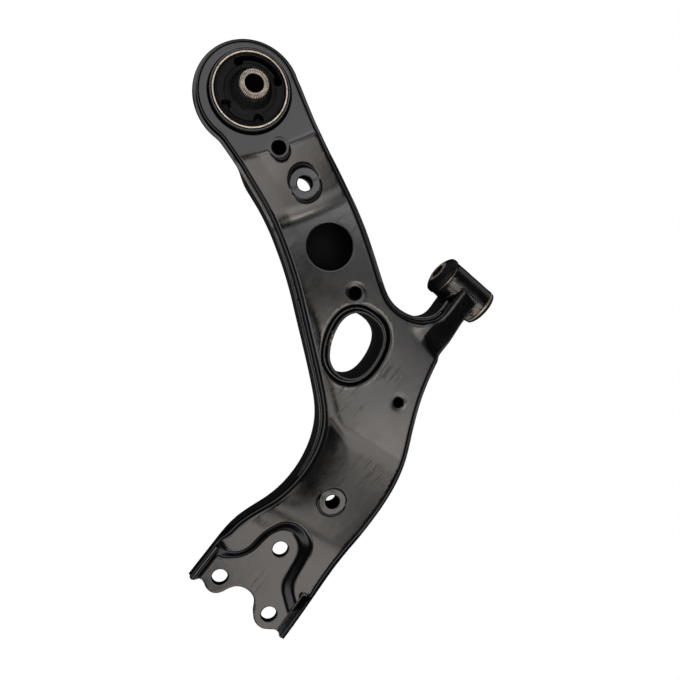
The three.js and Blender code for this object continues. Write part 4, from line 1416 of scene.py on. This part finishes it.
edge = wmath("MAXIMUM", wstep(lin(-1.04, 1.0, -0.19), -0.05, 0.06), wmath("MAXIMUM", wstep(tx, 0.12, 0.2), rear))
level = wmath("MULTIPLY", level, edge)
gap = wmath("MULTIPLY", wstep(tx, 0.625, 0.675), inv(wstep(tx, 0.745, 0.80)))
level = wmath("MULTIPLY", level, inv(wmath("MULTIPLY", gap, wmath("SUBTRACT", 0.93, wmath("MULTIPLY", wstep(ty, 0.45, 0.57), 0.45)))))
level = wmath("MULTIPLY", level, inv(wmath("MULTIPLY", wstep(tx, 0.50, 0.58), inv(wstep(ty, 0.30, 0.40)))))
level = wmath("MULTIPLY", level, inv(wmath("MULTIPLY", wmath("MULTIPLY", wstep(tx, 0.37, 0.41), inv(wstep(tx, 0.45, 0.52))), inv(wstep(ty, 0.315, 0.365)))))
neck = wmath("MULTIPLY", inv(wstep(tx, -0.150, -0.128)), wstep(ty, 0.285, 0.31))
level = wmath("MULTIPLY", level, inv(wmath("MULTIPLY", neck, 0.93)))
soft = wmath("MULTIPLY", BOX, level)
warm = wmath("MULTIPLY", soft, wstep(lin(0.7, 0.7, 0.0), 0.14, 0.30))
cool = wmath("SUBTRACT", soft, warm)
bar = wmath("MULTIPLY", wmath("MULTIPLY", wstep(Qb, 0.03, 0.08), inv(wstep(Qb, 0.19, 0.215))), upper)
lamp = wmath("ADD", wmath("MULTIPLY", wmath("MULTIPLY", bar, gauss(Pb, 0.169, 0.032)), 7.5), wmath("MULTIPLY", wmath("MULTIPLY", bar, gauss(Pb, 0.169, 0.07)), 0.5))
side = wmath("MULTIPLY", wstep(dz, -0.55, -0.30), inv(wstep(dz, 0.10, 0.28)))
turn = wmath("ADD", 0.72, wmath("ADD", wmath("MULTIPLY", dx, 0.22), wmath("MULTIPLY", dy, -0.16)))
horizon = wmath("MULTIPLY", wmath("MULTIPLY", side, turn), 0.8)
total = wadd(wadd(tinted(warm, (1.06, 0.99, 0.93)), tinted(cool, (0.99, 0.99, 1.02))), wadd(tinted(lamp, (1.08, 0.98, 0.84)), tinted(wmath("ADD", horizon, 0.02), (1, 1, 1.08))))
bg = wn("ShaderNodeBackground")
nt.links.new(total, bg.inputs["Color"])
seen = wn("ShaderNodeBackground")
seen.inputs["Color"].default_value = (0.97, 0.97, 0.97, 1)
lp = wn("ShaderNodeLightPath")
mx = wn("ShaderNodeMixShader")
nt.links.new(lp.outputs["Is Camera Ray"], mx.inputs[0])
nt.links.new(bg.outputs[0], mx.inputs[1])
nt.links.new(seen.outputs[0], mx.inputs[2])
wo = wn("ShaderNodeOutputWorld")
nt.links.new(mx.outputs[0], wo.inputs[0])

bpy.context.scene.view_settings.view_transform = "Standard"

# ------------------------------------------------------------------ camera
cam_data = bpy.data.cameras.new("camera")
cam = bpy.data.objects.new("camera", cam_data)
bpy.context.scene.collection.objects.link(cam)
right = np.array([-0.6186809096, 0.7609591375, 0.1953845519])
down = np.array([0.7837494107, 0.6150528930, 0.0862948437])
fwd = np.array([-0.0545049840, 0.2065214998, -0.9769227589])
pos = to_row([136.4125164, 77.4023182, 552.8844484])
cam.matrix_world = Matrix((
    (right[0], -down[0], -fwd[0], pos[0]),
    (right[1], -down[1], -fwd[1], pos[1]),
    (right[2], -down[2], -fwd[2], pos[2]),
    (0, 0, 0, 1)))
cam_data.sensor_width = 36.0
cam_data.lens = 600.0 * 36.0 / 680.0
cam_data.clip_start, cam_data.clip_end = 0.01, 100
cam_data.dof.use_dof = False
bpy.context.scene.camera = cam
